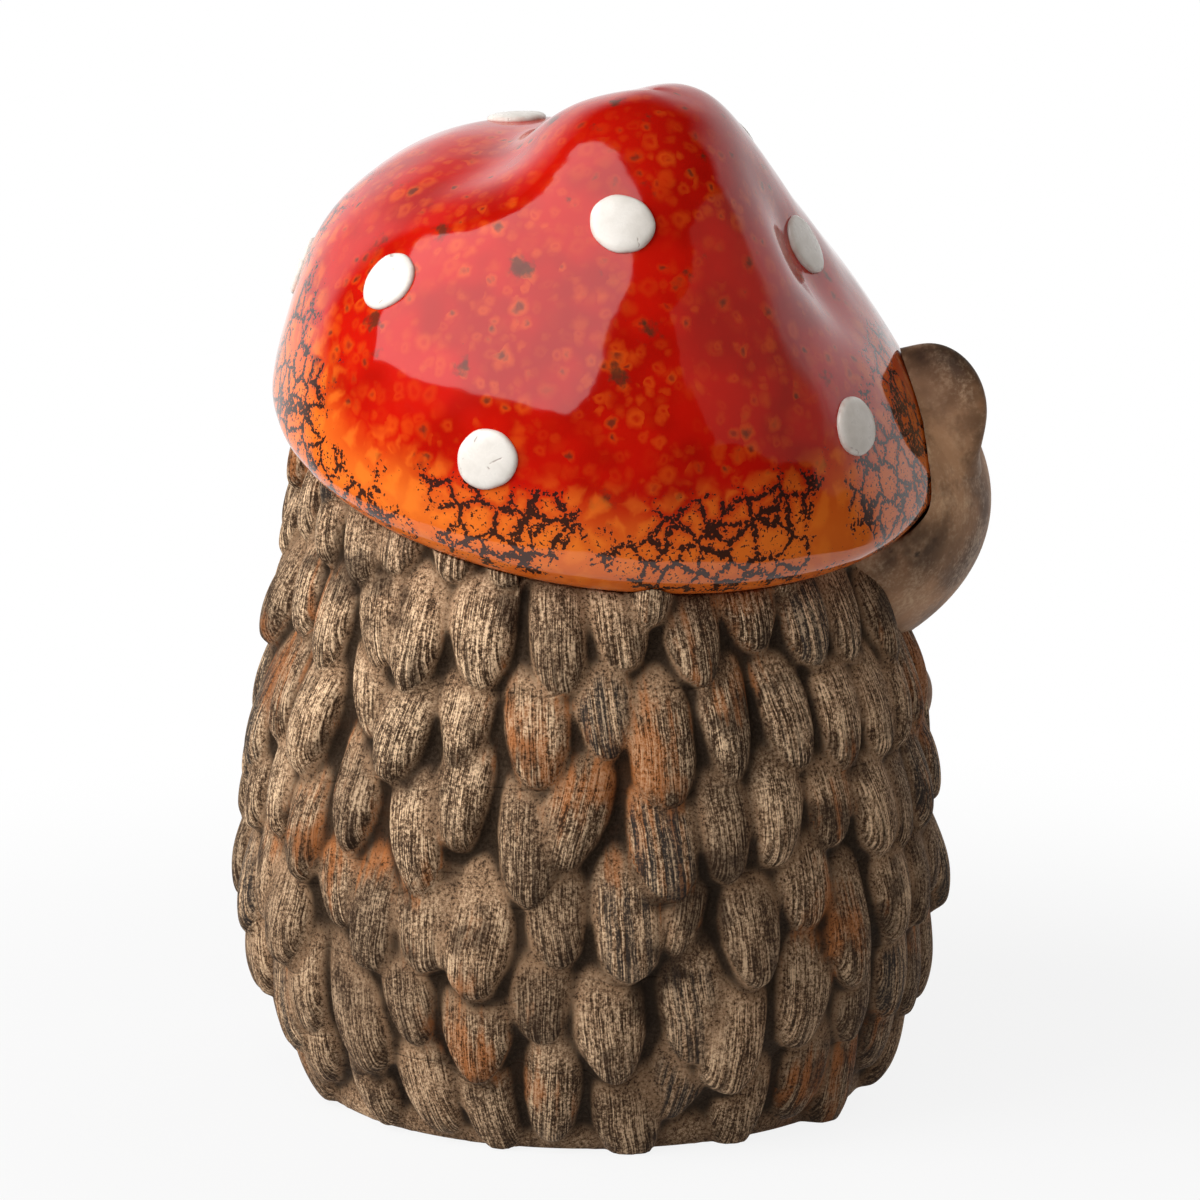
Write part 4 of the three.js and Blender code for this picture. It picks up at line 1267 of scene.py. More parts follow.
# %% Body shell
BELLY_HALF = np.array([46.0, 44.0])
BELLY_MIDDLE = np.array([-21.6, 45.0])
BODY_WALL = 5.0
BODY_COLUMNS = 240
BODY_LINES = 90
INNER_LINES = 18
FOOT_ROUNDING = 1.2
FOOT_EDGE = 0.4
BELLY_BLEND = 12.0
BELLY_FILLET = 3.0
BELLY_PALE = 0.75
BELLY_FRONT = (0.55, 0.95)
BELLY_BOTTOM = (4.0, 30.0)


def belly_radius(angle, height):
    """Distance from the barrel's axis to the belly's skin, or nothing where it has none."""
    level = np.clip(1 - ((height - BELLY_MIDDLE[1]) / BELLY_HALF[1]) ** 2, 0, 1)
    toward = np.cos(np.radians(angle)) * BELLY_MIDDLE[0]
    square = toward**2 - BELLY_MIDDLE[0] ** 2 + BELLY_HALF[0] ** 2 * level
    return np.where(square > 0, toward + np.sqrt(np.maximum(square, 0)), 0)


def body_radius(angle, height):
    """Distance from the axis to the body's skin, barrel and belly run together."""
    barrel = barrel_radius(height)
    belly = belly_radius(angle, height)
    blend = np.clip(0.5 + (belly - barrel) / BELLY_BLEND, 0, 1)
    return barrel * (1 - blend) + belly * blend + BELLY_FILLET * blend * (1 - blend) * (belly > 0)


def seat_height(angle, radius):
    """Height of the hat's underside above a point round the axis."""
    level = heading(angle) * radius[..., None] - np.array(HAT_SHIFT)
    level[..., 2] = 0
    return HAT_SHIFT[2] - (level @ hat_up) / hat_up[2]


def body_line(angles, heights, inset=0.0):
    """One line round the body at a height for each angle, moved in from the skin."""
    radius = body_radius(angles, heights) if inset == 0 else barrel_radius(heights) - inset
    return round_point(angles, radius, heights)


body_angles = np.linspace(0, 360, BODY_COLUMNS, endpoint=False)
collar = np.full(BODY_COLUMNS, UNDERSIDE[-1])
outer_top = seat_height(body_angles, collar) - SEAT_GAP
inner_top = seat_height(body_angles, collar - BODY_WALL) - SEAT_GAP
body_lines = []
for shares, top, inset in (
    (np.linspace(0, 1, BODY_LINES), outer_top, 0.0),
    (np.linspace(1, 0, INNER_LINES), inner_top, BODY_WALL),
):
    for share in shares:
        body_lines.append(body_line(body_angles, FOOT_ROUNDING + (top - FOOT_ROUNDING) * share, inset))
for inset, height in (
    (BODY_WALL - FOOT_EDGE, FOOT_EDGE),
    (BODY_WALL - FOOT_ROUNDING, 0.0),
    (FOOT_ROUNDING, 0.0),
    (FOOT_EDGE, FOOT_EDGE),
):
    body_lines.append(round_point(body_angles, barrel_radius(0.0) - inset, height))
body_points = np.stack(body_lines, 1)
body_mesh = closed_skin("body_shell", in_frame(body_points))
point_angles = np.radians(np.repeat(body_angles, body_points.shape[1]))
front_share = smooth_step(-np.cos(point_angles), *BELLY_FRONT)
carry(body_mesh, "pale", BELLY_PALE * front_share * smooth_step(body_points[..., 2].ravel(), *BELLY_BOTTOM))
body = new_object("body_shell_clay", body_mesh)
finish_piece(body, skin_paint, "skin_bisque", "body_shell")

# %% [markdown]
# ## Soft clay forms
# The modelled pieces are lumps of clay pushed together. Each lump is a distance field, and lumps melt into
# each other with a soft minimum. A skin of points round a middle then goes out along its rays to where the
# field changes sign, which gives an even mesh without the seams of joined balls.

# %% Clay helpers
SKIN_TRIALS = 40
SKIN_HALVINGS = 12
HOLLOW_ROUNDS = 12


def ball_gap(points, middle, half):
    """About how far points lie outside an ellipsoid."""
    away = (points - np.asarray(middle, float)) / np.asarray(half, float)
    near = np.linalg.norm(away, axis=-1)
    slope = np.linalg.norm(away / np.asarray(half, float), axis=-1)
    return near * (near - 1) / np.maximum(slope, 1e-6)


def ring_gap(points, middle, way, radius, girth):
    """How far points lie outside a ring about a middle, across a way."""
    away = points - np.asarray(middle, float)
    height = away @ np.asarray(way, float)
    level = np.sqrt(np.maximum((away**2).sum(-1) - height**2, 0))
    return np.hypot(level - radius, height) - girth


def melt(one, other, width):
    """Two fields run together over a width."""
    share = np.clip(0.5 + 0.5 * (other - one) / width, 0, 1)
    return other * (1 - share) + one * share - width * share * (1 - share)


def carve(one, other, width):
    """One field with another taken out of it, the edge rounded over a width."""
    return -melt(-one, other, width)


def star_skin(name, middle, reach, field, fineness):
    """A closed skin whose points lie where the field turns positive, seen from a middle."""
    mesh = bpy.data.meshes.new(name)
    reshape(mesh, lambda work: bmesh.ops.create_icosphere(work, subdivisions=fineness, radius=1.0))
    ways = unit(points_of(mesh))
    stride = reach / SKIN_TRIALS
    far = np.zeros(len(ways))
    for trial in np.arange(reach, 0, -stride):
        inside = (far == 0) & (field(middle + ways * trial) < 0)
        far[inside] = trial
    near = far.copy()
    far = far + stride
    for halving in range(SKIN_HALVINGS):
        half = (near + far) / 2
        inside = field(middle + ways * half[:, None]) < 0
        near = np.where(inside, half, near)
        far = np.where(inside, far, half)
    put_points(mesh, in_frame(middle + ways * near[:, None]))
    return mesh


def figure_points(mesh):
    """A mesh's points in millimetres about the barrel's axis."""
    return points_of(mesh) / MM - axis_mm


def cut_away(thing, *cutters):
    """Cut other forms out of a piece."""
    for cutter in cutters:
        modifier = thing.modifiers.new("cut", "BOOLEAN")
        modifier.object = cutter
        modifier.operation = "DIFFERENCE"
        modifier.solver = "EXACT"
    return settled(thing)


def finish_skin(thing, pale, *nodes):
    """Measure the hollows of a clay piece, mark its pale parts and finish it."""
    use_tree(thing, hollow_tree, {"Hollow rounds": HOLLOW_ROUNDS, "Clay": skin_paint})
    carry(thing.data, "pale", pale(figure_points(thing.data)))
    finish_piece(thing, skin_paint, "skin_bisque", *nodes)


print("clay helpers are ready")

# %% [markdown]
# ## Head, eyes and nose
# The face sits under the hat and cannot be seen in the photograph, so it is a plain hedgehog's face: broad
# cheeks, a tapered snout, a quiet mouth line and bead eyes between soft lids. The head is cut where barrel
# and hat stand, because inside them nothing should show.

# %% Forms that cut the head
CUT_SIDES = 96
CUT_LEVELS = 60
cut_angles = np.linspace(0, 360, CUT_SIDES, endpoint=False)
cut_levels = np.linspace(-2, collar_height, CUT_LEVELS)
cut_rings = [body_line(cut_angles, np.full(CUT_SIDES, height)) for height in np.maximum(cut_levels, 0.0)]
for ring, height in zip(cut_rings, cut_levels):
    ring[:, 2] = height
cut_ends = [in_frame((0, 0, level)) for level in (cut_levels[0], cut_levels[-1])]
body_cutter = new_object("body_cutter", closed_skin("body_cutter", in_frame(cut_rings), *cut_ends))
cut_shares = np.linspace(0, 1, CUT_LEVELS)[:-1]
cap_rings = [hat_to_frame(hat_ring(share, SEAT_GAP, cut_angles)) for share in cut_shares]
cap_ends = [hat_to_frame(end) for end in ((0, 0, -SEAT_GAP), hat_tip(SEAT_GAP))]
hat_cutter = new_object("hat_cutter", closed_skin("hat_cutter", cap_rings, *cap_ends))
print("two cutting forms are ready")

# %% Head
HEAD_MIDDLE = np.array([0.0, -31.0, 114.0])
HEAD_HALF = np.array([65.0, 46.0, 39.0])
SNOUT_LEVEL = 105.0
NOSE_MIDDLE = np.array([0.0, -96.0, SNOUT_LEVEL])
EYE_RADIUS = 6.5
EYE_TURN, EYE_LIFT, EYE_SINK = 65, 19, 3.0
SNOUT_GIRTH, TIP_GIRTH = 35.0, 8.5
SNOUT_TAPER = 1.3
SNOUT_END, SNOUT_EDGE, SNOUT_MELT = 2.0, 6.0, 9.0
CHEEK_PLACE, CHEEK_HALF, CHEEK_MELT = (27.0, -64.0, 101.0), (13.0, 11.5, 11.5), 7.0
SOCKET_OUT, SOCKET_ROOM, SOCKET_EDGE = 2.5, 2.2, 3.0
LID_OUT, LID_ROOM, LID_GIRTH, LID_MELT = 1.2, 0.7, 1.15, 1.4
MOUTH_FRONT, MOUTH_RISE, MOUTH_TURN = -86.5, 15.0, 1.25
MOUTH_ENDS, MOUTH_BACK = (1.3, 1.1), -52
MOUTH_DEPTH, MOUTH_WIDTH, MOUTH_SLOPE = 1.3, 1.3, 0.35
GROOVE_DEPTH, GROOVE_WIDTH, GROOVE_BACK, GROOVE_DROP = 0.9, 1.0, -86, 4
MUZZLE_MIDDLE, MUZZLE_HALF = np.array([0, -80, 98]), np.array([34, 30, 22])
MUZZLE_PALE, MUZZLE_EDGE = 0.8, (1.25, 0.55)
HEAD_CORE, HEAD_REACH, HEAD_FINENESS = np.array([0.0, -48.0, 109.0]), 90.0, 7
# Depth of the painted shade along the hat's rim, also used for the dark wash on the ear tops, and the
# shade's reach
SHADE_AND_WASH_DEPTH, RIM_SHADE_REACH = 0.75, (10.0, 1.0)
SIDES = {"left": 1, "right": -1}


def on_side(side, place):
    """A place given for the left side, or its mirror image on the right."""
    return np.array(place) * (side, 1, 1)


def on_head(side, turn, lift):
    """A point of the head's skin: turn 0 is its side, 90 its front."""
    turn, lift = math.radians(turn), math.radians(lift)
    level = math.cos(lift)
    way = np.array([side * level * math.cos(turn), -level * math.sin(turn), math.sin(lift)])
    return way * HEAD_HALF + HEAD_MIDDLE


def eye_place(side):
    """The middle of an eye and the way it looks."""
    skin = on_head(side, EYE_TURN, EYE_LIFT)
    way = unit(skin - HEAD_MIDDLE)
    return skin - EYE_SINK * way, way


def head_field(points):
    """The clay of the head: skull, snout, cheeks, brows and lids."""
    gap = ball_gap(points, HEAD_MIDDLE, HEAD_HALF)
    share = np.clip((points[:, 1] - HEAD_MIDDLE[1]) / (NOSE_MIDDLE[1] - HEAD_MIDDLE[1]), 0, 1)
    girth = SNOUT_GIRTH + (TIP_GIRTH - SNOUT_GIRTH) * share**SNOUT_TAPER
    snout = np.hypot(points[:, 0], points[:, 2] - SNOUT_LEVEL) - girth
    snout = carve(snout, points[:, 1] - NOSE_MIDDLE[1] - SNOUT_END, SNOUT_EDGE)
    gap = melt(gap, snout, SNOUT_MELT)
    for side in SIDES.values():
        gap = melt(gap, ball_gap(points, on_side(side, CHEEK_PLACE), CHEEK_HALF), CHEEK_MELT)
        eye, way = eye_place(side)
        socket = ball_gap(points, eye + SOCKET_OUT * way, np.full(3, EYE_RADIUS + SOCKET_ROOM))
        lids = ring_gap(points, eye + LID_OUT * way, way, EYE_RADIUS + LID_ROOM, LID_GIRTH)
        gap = melt(carve(gap, socket, SOCKET_EDGE), lids, LID_MELT)
    return gap


def press_mouth(mesh):
    """Press a mouth line round the underside of the snout."""
    points = figure_points(mesh)
    turn = np.arctan2(points[:, 0], SNOUT_LEVEL - points[:, 2])
    line = MOUTH_FRONT + MOUTH_RISE * (turn / MOUTH_TURN) ** 2
    reach = smooth_step(np.abs(turn), *MOUTH_ENDS) * (points[:, 1] < MOUTH_BACK)
    away = (points[:, 1] - line) / np.sqrt(1 + (MOUTH_SLOPE * turn) ** 2)
    depth = MOUTH_DEPTH * bell(away, MOUTH_WIDTH) * reach
    groove = np.abs(points[:, 0])
    under_nose = (points[:, 1] < GROOVE_BACK) * (points[:, 2] < SNOUT_LEVEL - GROOVE_DROP)
    depth = np.maximum(depth, GROOVE_DEPTH * bell(groove, GROOVE_WIDTH) * under_nose)
    inward = np.stack([-points[:, 0], np.zeros(len(points)), SNOUT_LEVEL - points[:, 2]], -1)
    inward = inward / np.maximum(np.linalg.norm(inward, axis=1, keepdims=True), 1e-6)
    put_points(mesh, in_frame(points + inward * depth[:, None]))


def rim_shade(points):
    """Painted shade and dark wash on the clay along the rim of the hat."""
    return SHADE_AND_WASH_DEPTH * smooth_step(ring_gap(points, HAT_SHIFT, hat_up, HAT_RADIUS, 0.0), *RIM_SHADE_REACH)


def muzzle_pale(points):
    """Paler clay on the muzzle and under the cheeks, less the painted shade along the hat's rim."""
    away = np.linalg.norm((points - MUZZLE_MIDDLE) / MUZZLE_HALF, axis=1)
    return MUZZLE_PALE * smooth_step(away, *MUZZLE_EDGE) - rim_shade(points)


head_mesh = star_skin("head", HEAD_CORE, HEAD_REACH, head_field, HEAD_FINENESS)
press_mouth(head_mesh)
head = cut_away(new_object("head_clay", head_mesh), body_cutter, hat_cutter)
finish_skin(head, muzzle_pale, "head")

# %% Black glaze for eyes and nose
BLACK = colour(0.006, 0.005, 0.005)
BROWN_BLACK = colour(0.017, 0.012, 0.009)
IRIS_BROWN = colour(0.060, 0.024, 0.010)
BEAD_REACH, BEAD_FINENESS = 9.0, 6
BEAD_GAP = 0.25
DOME_OUT, DOME_LESS, DOME_MELT = 1.9, 2.0, 1.0
IRIS_OUTSIDE, IRIS_INSIDE = (0.72, 0.80), (0.94, 0.88)
# Offset from the nose's middle and half sizes, then the width of the join
NOSE_BALL = ((0, 0.4, 0.6), (6.7, 6.3, 5.8))
NOSE_CHIN, CHIN_MELT = ((0, 0.6, -3.0), (4.2, 5.4, 3.6)), 2.0
NOSE_GROOVE = ((0, -7.4, -2.6), (0.7, 2.0, 3.4))
NOSTRIL = ((3.3, -5.6, -0.6), (1.5, 2.2, 1.1))
NOSE_EDGE = 0.9
black_glaze, tree, place = new_paint("black_glaze")
cloud = noise(place, 260, 3, 0.6)
base = layered(BLACK, (ease(cloud, 0.35, 0.7), BROWN_BLACK), (read(tree, "iris") * 0.8, IRIS_BROWN))
close_paint(base, ease(cloud, 0.3, 0.75, 0.06, 0.16), 0.5, cloud, 0.15, 0.2 * MM)


def eye_field(eye, way):
    """A bead with a slightly domed front."""
    def field(points):
        bead = ball_gap(points, eye, np.full(3, EYE_RADIUS - BEAD_GAP))
        dome = ball_gap(points, eye + DOME_OUT * way, np.full(3, EYE_RADIUS - DOME_LESS))
        return melt(bead, dome, DOME_MELT)
    return field


for name, side in SIDES.items():
    eye, way = eye_place(side)
    eye_mesh = star_skin(f"{name}_eye", eye, BEAD_REACH, eye_field(eye, way), BEAD_FINENESS)
    looks = (figure_points(eye_mesh) - eye) @ way / EYE_RADIUS
    carry(eye_mesh, "iris", smooth_step(looks, *IRIS_OUTSIDE) * smooth_step(looks, *IRIS_INSIDE))
    finish_piece(new_object(f"{name}_eye_bead", eye_mesh), black_glaze, "black_glaze", f"{name}_eye")


def nose_gap(points, form, side=1):
    """About how far points lie outside one form of the nose."""
    offset, half = form
    return ball_gap(points, NOSE_MIDDLE + on_side(side, offset), half)


def nose_field(points):
    """A blunt, rounded nose with two nostrils and a shallow groove."""
    gap = melt(nose_gap(points, NOSE_BALL), nose_gap(points, NOSE_CHIN), CHIN_MELT)
    gap = carve(gap, nose_gap(points, NOSE_GROOVE), NOSE_EDGE)
    for side in SIDES.values():
        gap = carve(gap, nose_gap(points, NOSTRIL, side), NOSE_EDGE)
    return gap


nose_mesh = star_skin("nose", NOSE_MIDDLE, BEAD_REACH, nose_field, BEAD_FINENESS)
finish_piece(new_object("nose_bead", nose_mesh), black_glaze, "black_glaze", "nose")

# %% [markdown]
# ## Ears, arms and feet
# The ears are cupped discs with a rolled edge, and their roots run out over the skull. Arms and feet are
# lumps of clay with fingers and toes pressed on; they are joined as loose forms, remeshed into one skin and
# smoothed, as a thumb would smooth the joins.

# %% Ears
EAR_TURN = 10
EAR_LIFT = 33
EAR_DROP = 2.2
EAR_ROOT = 7.0
EAR_SINK = 0.35
EAR_HALF = (12.4, 4.9, 12.4)
CUP_PLACE, CUP_HALF, CUP_EDGE = (1.0, -5.4, -0.5), (9.4, 4.0, 9.4), 1.6
EAR_CORE, EAR_REACH, EAR_FINENESS = (0, 1.5, 0), 16.0, 6
EAR_PALE, EAR_FRONT, EAR_SOOT = 0.35, (-38.0, -41.0), (-9.0, -1.0)


def ear_field(middle, side):
    """A disc with a hollow front and a rolled edge, its root run out over the skull."""
    def field(points):
        disc = ball_gap(points, middle, EAR_HALF)
        cup = ball_gap(points, middle + on_side(side, CUP_PLACE), CUP_HALF)
        skull = ball_gap(points, HEAD_MIDDLE, HEAD_HALF) + EAR_SINK
        return carve(melt(disc, skull, EAR_ROOT), cup, CUP_EDGE)
    return field


def cup_pale(points):
    """Paler clay in front of the ears, a dark wash left on their tops, and painted shade along the hat's
    rim.
    """
    sooty = SHADE_AND_WASH_DEPTH * smooth_step(points[:, 2] - points[:, 2].max(), *EAR_SOOT)
    return EAR_PALE * smooth_step(points[:, 1], *EAR_FRONT) - np.maximum(sooty, rim_shade(points))


for name, side in SIDES.items():
    middle = on_head(side, EAR_TURN, EAR_LIFT) - (0, 0, EAR_DROP)
    field = ear_field(middle, side)
    ear_mesh = star_skin(f"{name}_ear", middle + EAR_CORE, EAR_REACH, field, EAR_FINENESS)
    ear = cut_away(new_object(f"{name}_ear_clay", ear_mesh), hat_cutter)
    finish_skin(ear, cup_pale, f"{name}_ear")

# %% Arms and feet
LIMB_SIDES = 28
LIMB_STEPS = 40
LIMB_GRAIN = 0.8 * MM
LIMB_CAP = 2
LUMP_REACH, LUMP_FINENESS = 1.2, 4
SMOOTHING = 0.5
ARM_ROUNDS, FOOT_ROUNDS = 6, 4
SHOULDER_TURN, SHOULDER_LEVEL = 140, 80.0
PAW_TURN, PAW_LEVEL, PAW_SHIFT = 165, 52.0, (0, -4.0, 0)
ELBOW_OUT, ELBOW_DROP = 4.0, (0, 0, 3.0)
FINGER_REACH, FINGER_LAG, FINGER_STEP, FINGER_LIFT = 2.5, 0.8, 4.6, 0.8
FINGER_HALF, FINGERTIP_HALF, FINGERTIP_AHEAD = (3.3, 3.3, 3.3), (2.6, 2.6, 2.6), 2.4
FOOT_PLACE, FOOT_HALF = (17.0, -5.7, 0), (12.0, 17.0, 11.0)
TOE_LEVEL, TOE_HALF = 2.5, (4.9, 5.2, 4.9)
SOLE_LEVEL = 0.1 * MM
ARM_GIRTHS = [(radius, 0.0) for radius in (4.25, 8.5, 6.5, 6.5, 8.0, 4.0)]
TOE_PLACES = [(-7.0, 9.5), (0.0, 14.5), (7.0, 9.5)]


def joined(name, meshes):
    """Several closed meshes in one object."""
    whole = bpy.data.meshes.new(name)
    reshape(whole, lambda work: [work.from_mesh(mesh) for mesh in meshes])
    for mesh in meshes:
        bpy.data.meshes.remove(mesh)
    return new_object(name + "_clay", whole)


def smoothed_over(thing, rounds):
    """Remesh loose forms into one skin and smooth the joins."""
    remesh = thing.modifiers.new("one_skin", "REMESH")
    remesh.mode = "VOXEL"
    remesh.voxel_size = LIMB_GRAIN
    smooth = thing.modifiers.new("thumb", "SMOOTH")
    smooth.factor = SMOOTHING
    smooth.iterations = rounds
    return settled(thing)


def lump(middle, half):
    """One ellipsoid of clay."""
    half = np.asarray(half, float)

    def field(points):
        return ball_gap(points, middle, half)
    return star_skin("lump", np.asarray(middle, float), LUMP_REACH * half.max(), field, LUMP_FINENESS)


def on_body(angle, height):
    """A point of the barrel's skin."""
    return round_point(angle, barrel_radius(height), height)


def limb(path, girths):
    """A tube of changing girth along a path, with rounded ends, and the way it ends."""
    shares = np.linspace(0, 1, LIMB_STEPS)
    middles = spline(path, shares)
    radii = spline(girths, shares)[:, 0]
    along = unit(np.gradient(middles, axis=0))
    across = unit(np.cross(along, unit(path[1] * (1, 1, 0))))
    upward = np.cross(along, across)
    turn = np.linspace(0, 2 * np.pi, LIMB_SIDES, endpoint=False)
    spokes = across[:, None] * np.cos(turn)[None, :, None] + upward[:, None] * np.sin(turn)[None, :, None]
    rings = middles[:, None] + spokes * radii[:, None, None]
    ends = in_frame(middles[0] - LIMB_CAP * along[0]), in_frame(middles[-1] + LIMB_CAP * along[-1])
    mesh = closed_skin("limb", in_frame(rings), *ends)
    return mesh, middles[-1], along[-1], across[-1]


def level_sole(work):
    """Cut a foot flat just above the table and close it."""
    everything = work.verts[:] + work.edges[:] + work.faces[:]
    cut = bmesh.ops.bisect_plane(work, geom=everything, plane_co=(0, 0, SOLE_LEVEL), plane_no=(0, 0, -1),
                                 clear_outer=True)
    rim = [item for item in cut["geom_cut"] if isinstance(item, bmesh.types.BMEdge)]
    bmesh.ops.holes_fill(work, edges=rim)
    bmesh.ops.recalc_face_normals(work, faces=work.faces)


def plain(points):
    """No pale clay."""
    return np.zeros(len(points))


for name, side in SIDES.items():
    shoulder = on_body(-side * SHOULDER_TURN, SHOULDER_LEVEL)
    paw = on_body(-side * PAW_TURN, PAW_LEVEL) + PAW_SHIFT
    elbow = (shoulder + paw) / 2
    outside = unit(elbow * (1, 1, 0))
    elbow = elbow + ELBOW_OUT * outside - ELBOW_DROP
    arm_mesh, wrist, ahead, aside = limb([shoulder, elbow, paw], ARM_GIRTHS)
    lumps = [arm_mesh]
    for spread in (-1, 0, 1):
        tip = wrist + ahead * (FINGER_REACH - FINGER_LAG * abs(spread))
        tip = tip + aside * FINGER_STEP * spread + outside * FINGER_LIFT
        lumps.append(lump(tip, FINGER_HALF))
        lumps.append(lump(tip + ahead * FINGERTIP_AHEAD, FINGERTIP_HALF))
    arm = smoothed_over(joined(f"{name}_arm", lumps), ARM_ROUNDS)
    finish_skin(arm, plain, f"{name}_arm")

for name, side in SIDES.items():
    middle = on_body(180, 0.0) + on_side(side, FOOT_PLACE)
    lumps = [lump(middle, FOOT_HALF)]
    for sideways, reach in TOE_PLACES:
        lumps.append(lump(middle + (sideways, -reach, TOE_LEVEL), TOE_HALF))
    foot = smoothed_over(joined(f"{name}_foot", lumps), FOOT_ROUNDS)
    reshape(foot.data, level_sole)
    finish_skin(foot, plain, f"{name}_foot")

# %% [markdown]
# ## White dabs on the hat
# Thick white enamel was dabbed on the fired glaze. The dabs repeat, and each follows the curve of the hat
# beneath it, so a tree lays one slightly uneven form at every place, drops its points onto the hat along
# the dab's own direction and lifts them by the dab's thickness.

# %% One dab
DAB_SIDES = 48
DAB_PROFILE = [
    (0.22, 1.24), (0.45, 1.21), (0.66, 1.13), (0.82, 1.0), (0.92, 0.82), (0.975, 0.58), (1.0, 0.3),
    (1.0, 0.0), (0.97, -0.5), (0.5, -0.6),
]
DAB_POLES = (1.25, -0.6)
DAB_GIRTH = 0.950
# Height, number and start of the waves round a dab
DAB_WAVES = [(0.026, 2, 0.6), (0.017, 3, 2.0), (0.007, 7, 0.0)]
SPOT_RADIUS = 6.2
dab_turn = np.linspace(0, 2 * np.pi, DAB_SIDES, endpoint=False)
uneven = DAB_GIRTH
for height, count, start in DAB_WAVES:
    uneven = uneven + height * np.sin(count * dab_turn + start)
dab_rings = []
for share, rise in DAB_PROFILE:
    radius = SPOT_RADIUS * MM * share * uneven
    flat = [radius * np.cos(dab_turn), radius * np.sin(dab_turn), np.zeros(DAB_SIDES)]
    dab_rings.append(np.stack(flat, -1))
dab_mesh = closed_skin("dab", dab_rings, (0, 0, 0), (0, 0, 0))
lifts = np.repeat([rise for share, rise in DAB_PROFILE], DAB_SIDES)
carry(dab_mesh, "lift", np.append(lifts, DAB_POLES) * MM)
edges = np.repeat([share for share, rise in DAB_PROFILE], DAB_SIDES)
carry(dab_mesh, "edge", np.append(edges, [0.0, 0.0]))
dab_form = bpy.data.objects.new("dab_form", dab_mesh)
print("dab has", len(dab_mesh.polygons), "faces")

# %% Tree that lays the dabs
FULL_TURN = 6.28
DAB_SMALLEST = (0.95, 0.93, 1.0)
DAB_RAY = 0.05
tree, given = new_geometry_tree("laid_dabs", {
    "Dab form": "Object",
    "Hat": "Object",
    "Drop height": "Float",
    "Seed": "Int",
    "Enamel": "Material",
})
form, cap = (made(tree, "GeometryNodeObjectInfo", {"Object": given[name]}, "Geometry")
             for name in ("Dab form", "Hat"))
up = named(tree, "up", "FLOAT_VECTOR")
upright = made(tree, "FunctionNodeAlignRotationToVector", {"Vector": up}, axis="Z")
spin = made(tree, "FunctionNodeRandomValue", {"Max": FULL_TURN, "Seed": given["Seed"]}, 1, data_type="FLOAT")
about = made(tree, "FunctionNodeAxisAngleToRotation", {"Axis": (0, 0, 1), "Angle": spin})
laid = made(tree, "GeometryNodeInstanceOnPoints", {
    "Points": given["Geometry"],
    "Instance": form,
    "Rotation": made(tree, "FunctionNodeRotateRotation", {
        "Rotation": upright,
        "Rotate By": about,
    }, rotation_space="LOCAL"),
    "Scale": made(tree, "FunctionNodeRandomValue", {
        0: DAB_SMALLEST,
        1: (1.0, 1.0, 1.0),
        "Seed": given["Seed"],
    }, data_type="FLOAT_VECTOR"),
})
kept = store(laid, "way", up, "FLOAT_VECTOR", "INSTANCE")
dabs = made(tree, "GeometryNodeRealizeInstances", {"Geometry": kept})
place = made(tree, "GeometryNodeInputPosition")
way = named(tree, "way", "FLOAT_VECTOR")
raised = vector("ADD", place, vector("SCALE", way, given["Drop height"]))
drop = ray_cast(cap, raised, vector("SCALE", way, -1.0), DAB_RAY)
dab_tree = tree
close_tree(made(tree, "GeometryNodeSetPosition", {
    "Geometry": dabs,
    "Position": vector("ADD", drop["Hit Position"], vector("SCALE", way, named(tree, "lift"))),
    "Selection": drop["Is Hit"],
}), given["Enamel"])

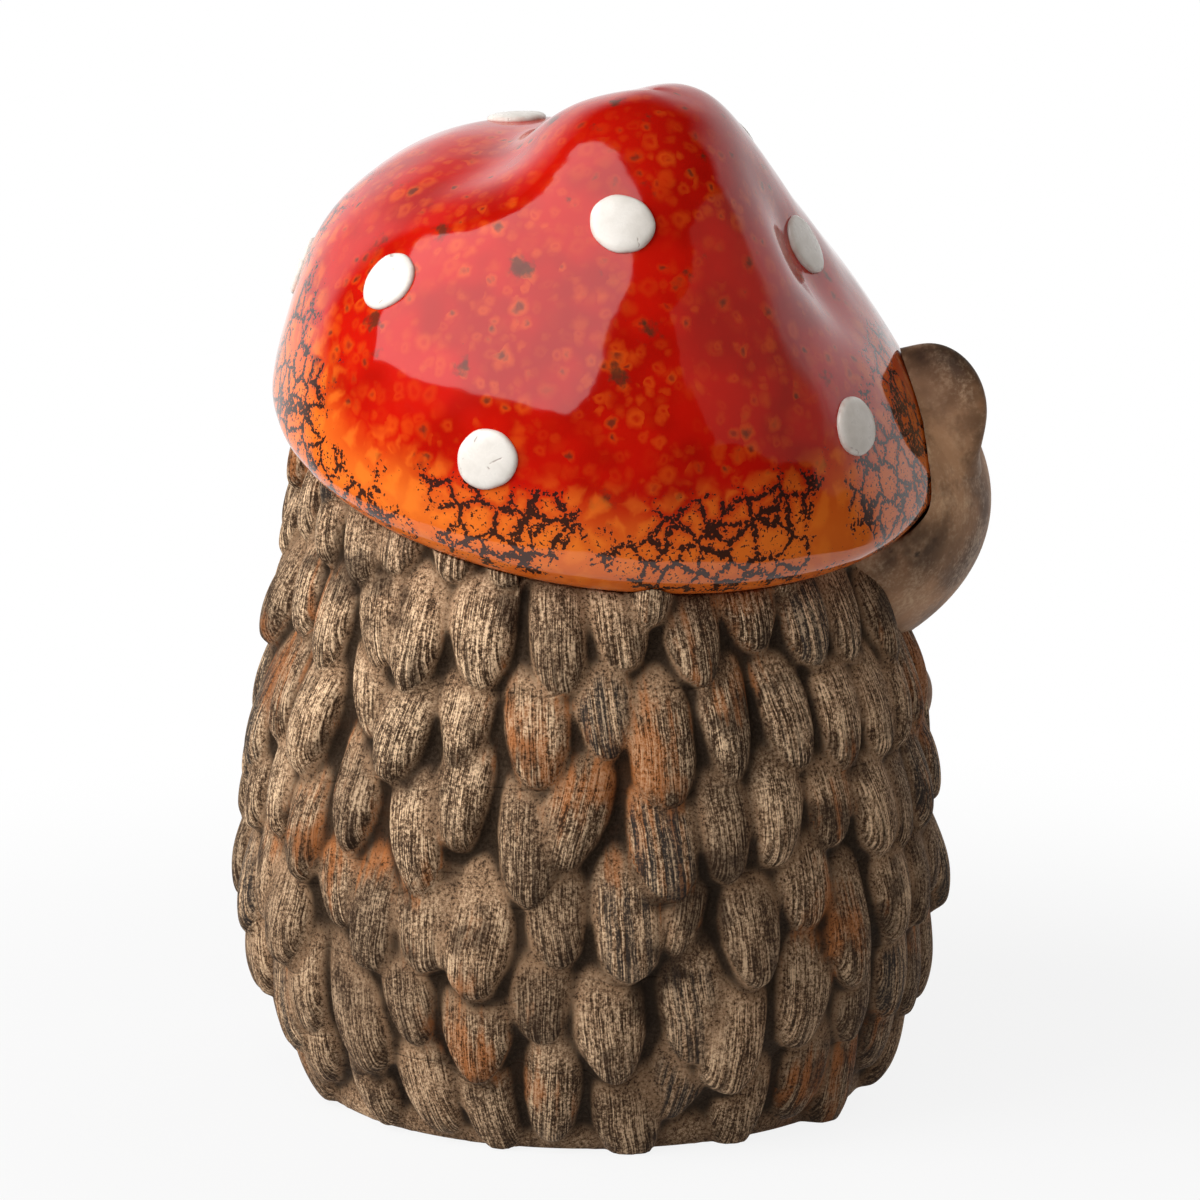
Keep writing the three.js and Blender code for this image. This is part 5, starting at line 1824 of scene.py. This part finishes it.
# %% White enamel and the dabs themselves
ENAMEL_WHITE = colour(0.735, 0.69, 0.635)
ENAMEL_GREY = colour(0.66, 0.615, 0.56)
CRACK_BROWN = colour(0.25, 0.16, 0.14)
RIM_PINK = colour(0.52, 0.33, 0.27)
enamel, tree, place = new_paint("white_dab")
cloud = noise(place, 330, 3, 0.6)
hairline = ease(cell_walls(place, 130), 0.022, 0.008) * ease(noise(place, 420), 0.60, 0.66)
base = layered(
    ENAMEL_WHITE,
    (ease(cloud, 0.35, 0.7), ENAMEL_GREY),
    (hairline * 0.55, CRACK_BROWN),
    (ease(read(tree, "edge"), 0.86, 1.0) * ease(cloud, 0.4, 0.65, 0.1, 0.5), RIM_PINK),
)
close_paint(base, ease(cloud, 0.3, 0.7, 0.22, 0.42), 0.5, cloud - hairline, 0.35, 0.25 * MM)

UPHILL_STEP, SIDEWAYS_STEP = 0.01, 1.0
SPOT_PLACES = [
    (-19.5, 0.474), (33.5, 0.672), (17.5, 0.323), (92, 0.36), (126, 0.61), (-101, 0.65),
    (-62, 0.33), (-118, 0.34), (-168, 0.5), (-160, 0.26), (180, 0.72),
]
spots = np.array(SPOT_PLACES, float)
spot_at = hat_to_frame(hat_side(spots[:, 0], spots[:, 1]))
uphill = hat_to_frame(hat_side(spots[:, 0], spots[:, 1] + UPHILL_STEP)) - spot_at
sideways = hat_to_frame(hat_side(spots[:, 0] + SIDEWAYS_STEP, spots[:, 1])) - spot_at
spot_way = unit(np.cross(sideways, uphill))
spot_mesh = new_mesh("cap_spots", spot_at.tolist())
carry(spot_mesh, "up", spot_way, "FLOAT_VECTOR")
dabs = use_tree(new_object("cap_spots_enamel", spot_mesh), dab_tree, {
    "Dab form": dab_form,
    "Hat": hat,
    "Drop height": 12 * MM,
    "Seed": 5,
    "Enamel": enamel,
})
spot_nodes = [f"cap_spot_{number + 1:02d}" for number in range(len(SPOT_PLACES))]
finish_piece(dabs, enamel, "white_dab", *spot_nodes)
for thing in (dab_form, body_cutter, hat_cutter):
    bpy.data.objects.remove(thing)

# %% [markdown]
# ## Compare sizes
# The dressed model is meant to stay inside the box of its solids, so both boxes are kept side by side.

# %% Sizes and table
new_low, new_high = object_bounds()
sizes = {
    "cad": [list(map(float, cad_low)), list(map(float, cad_high))],
    "visual": [list(map(float, new_low)), list(map(float, new_high))],
}
print("visual box in mm:", [round(side / MM, 1) for side in new_high - new_low])
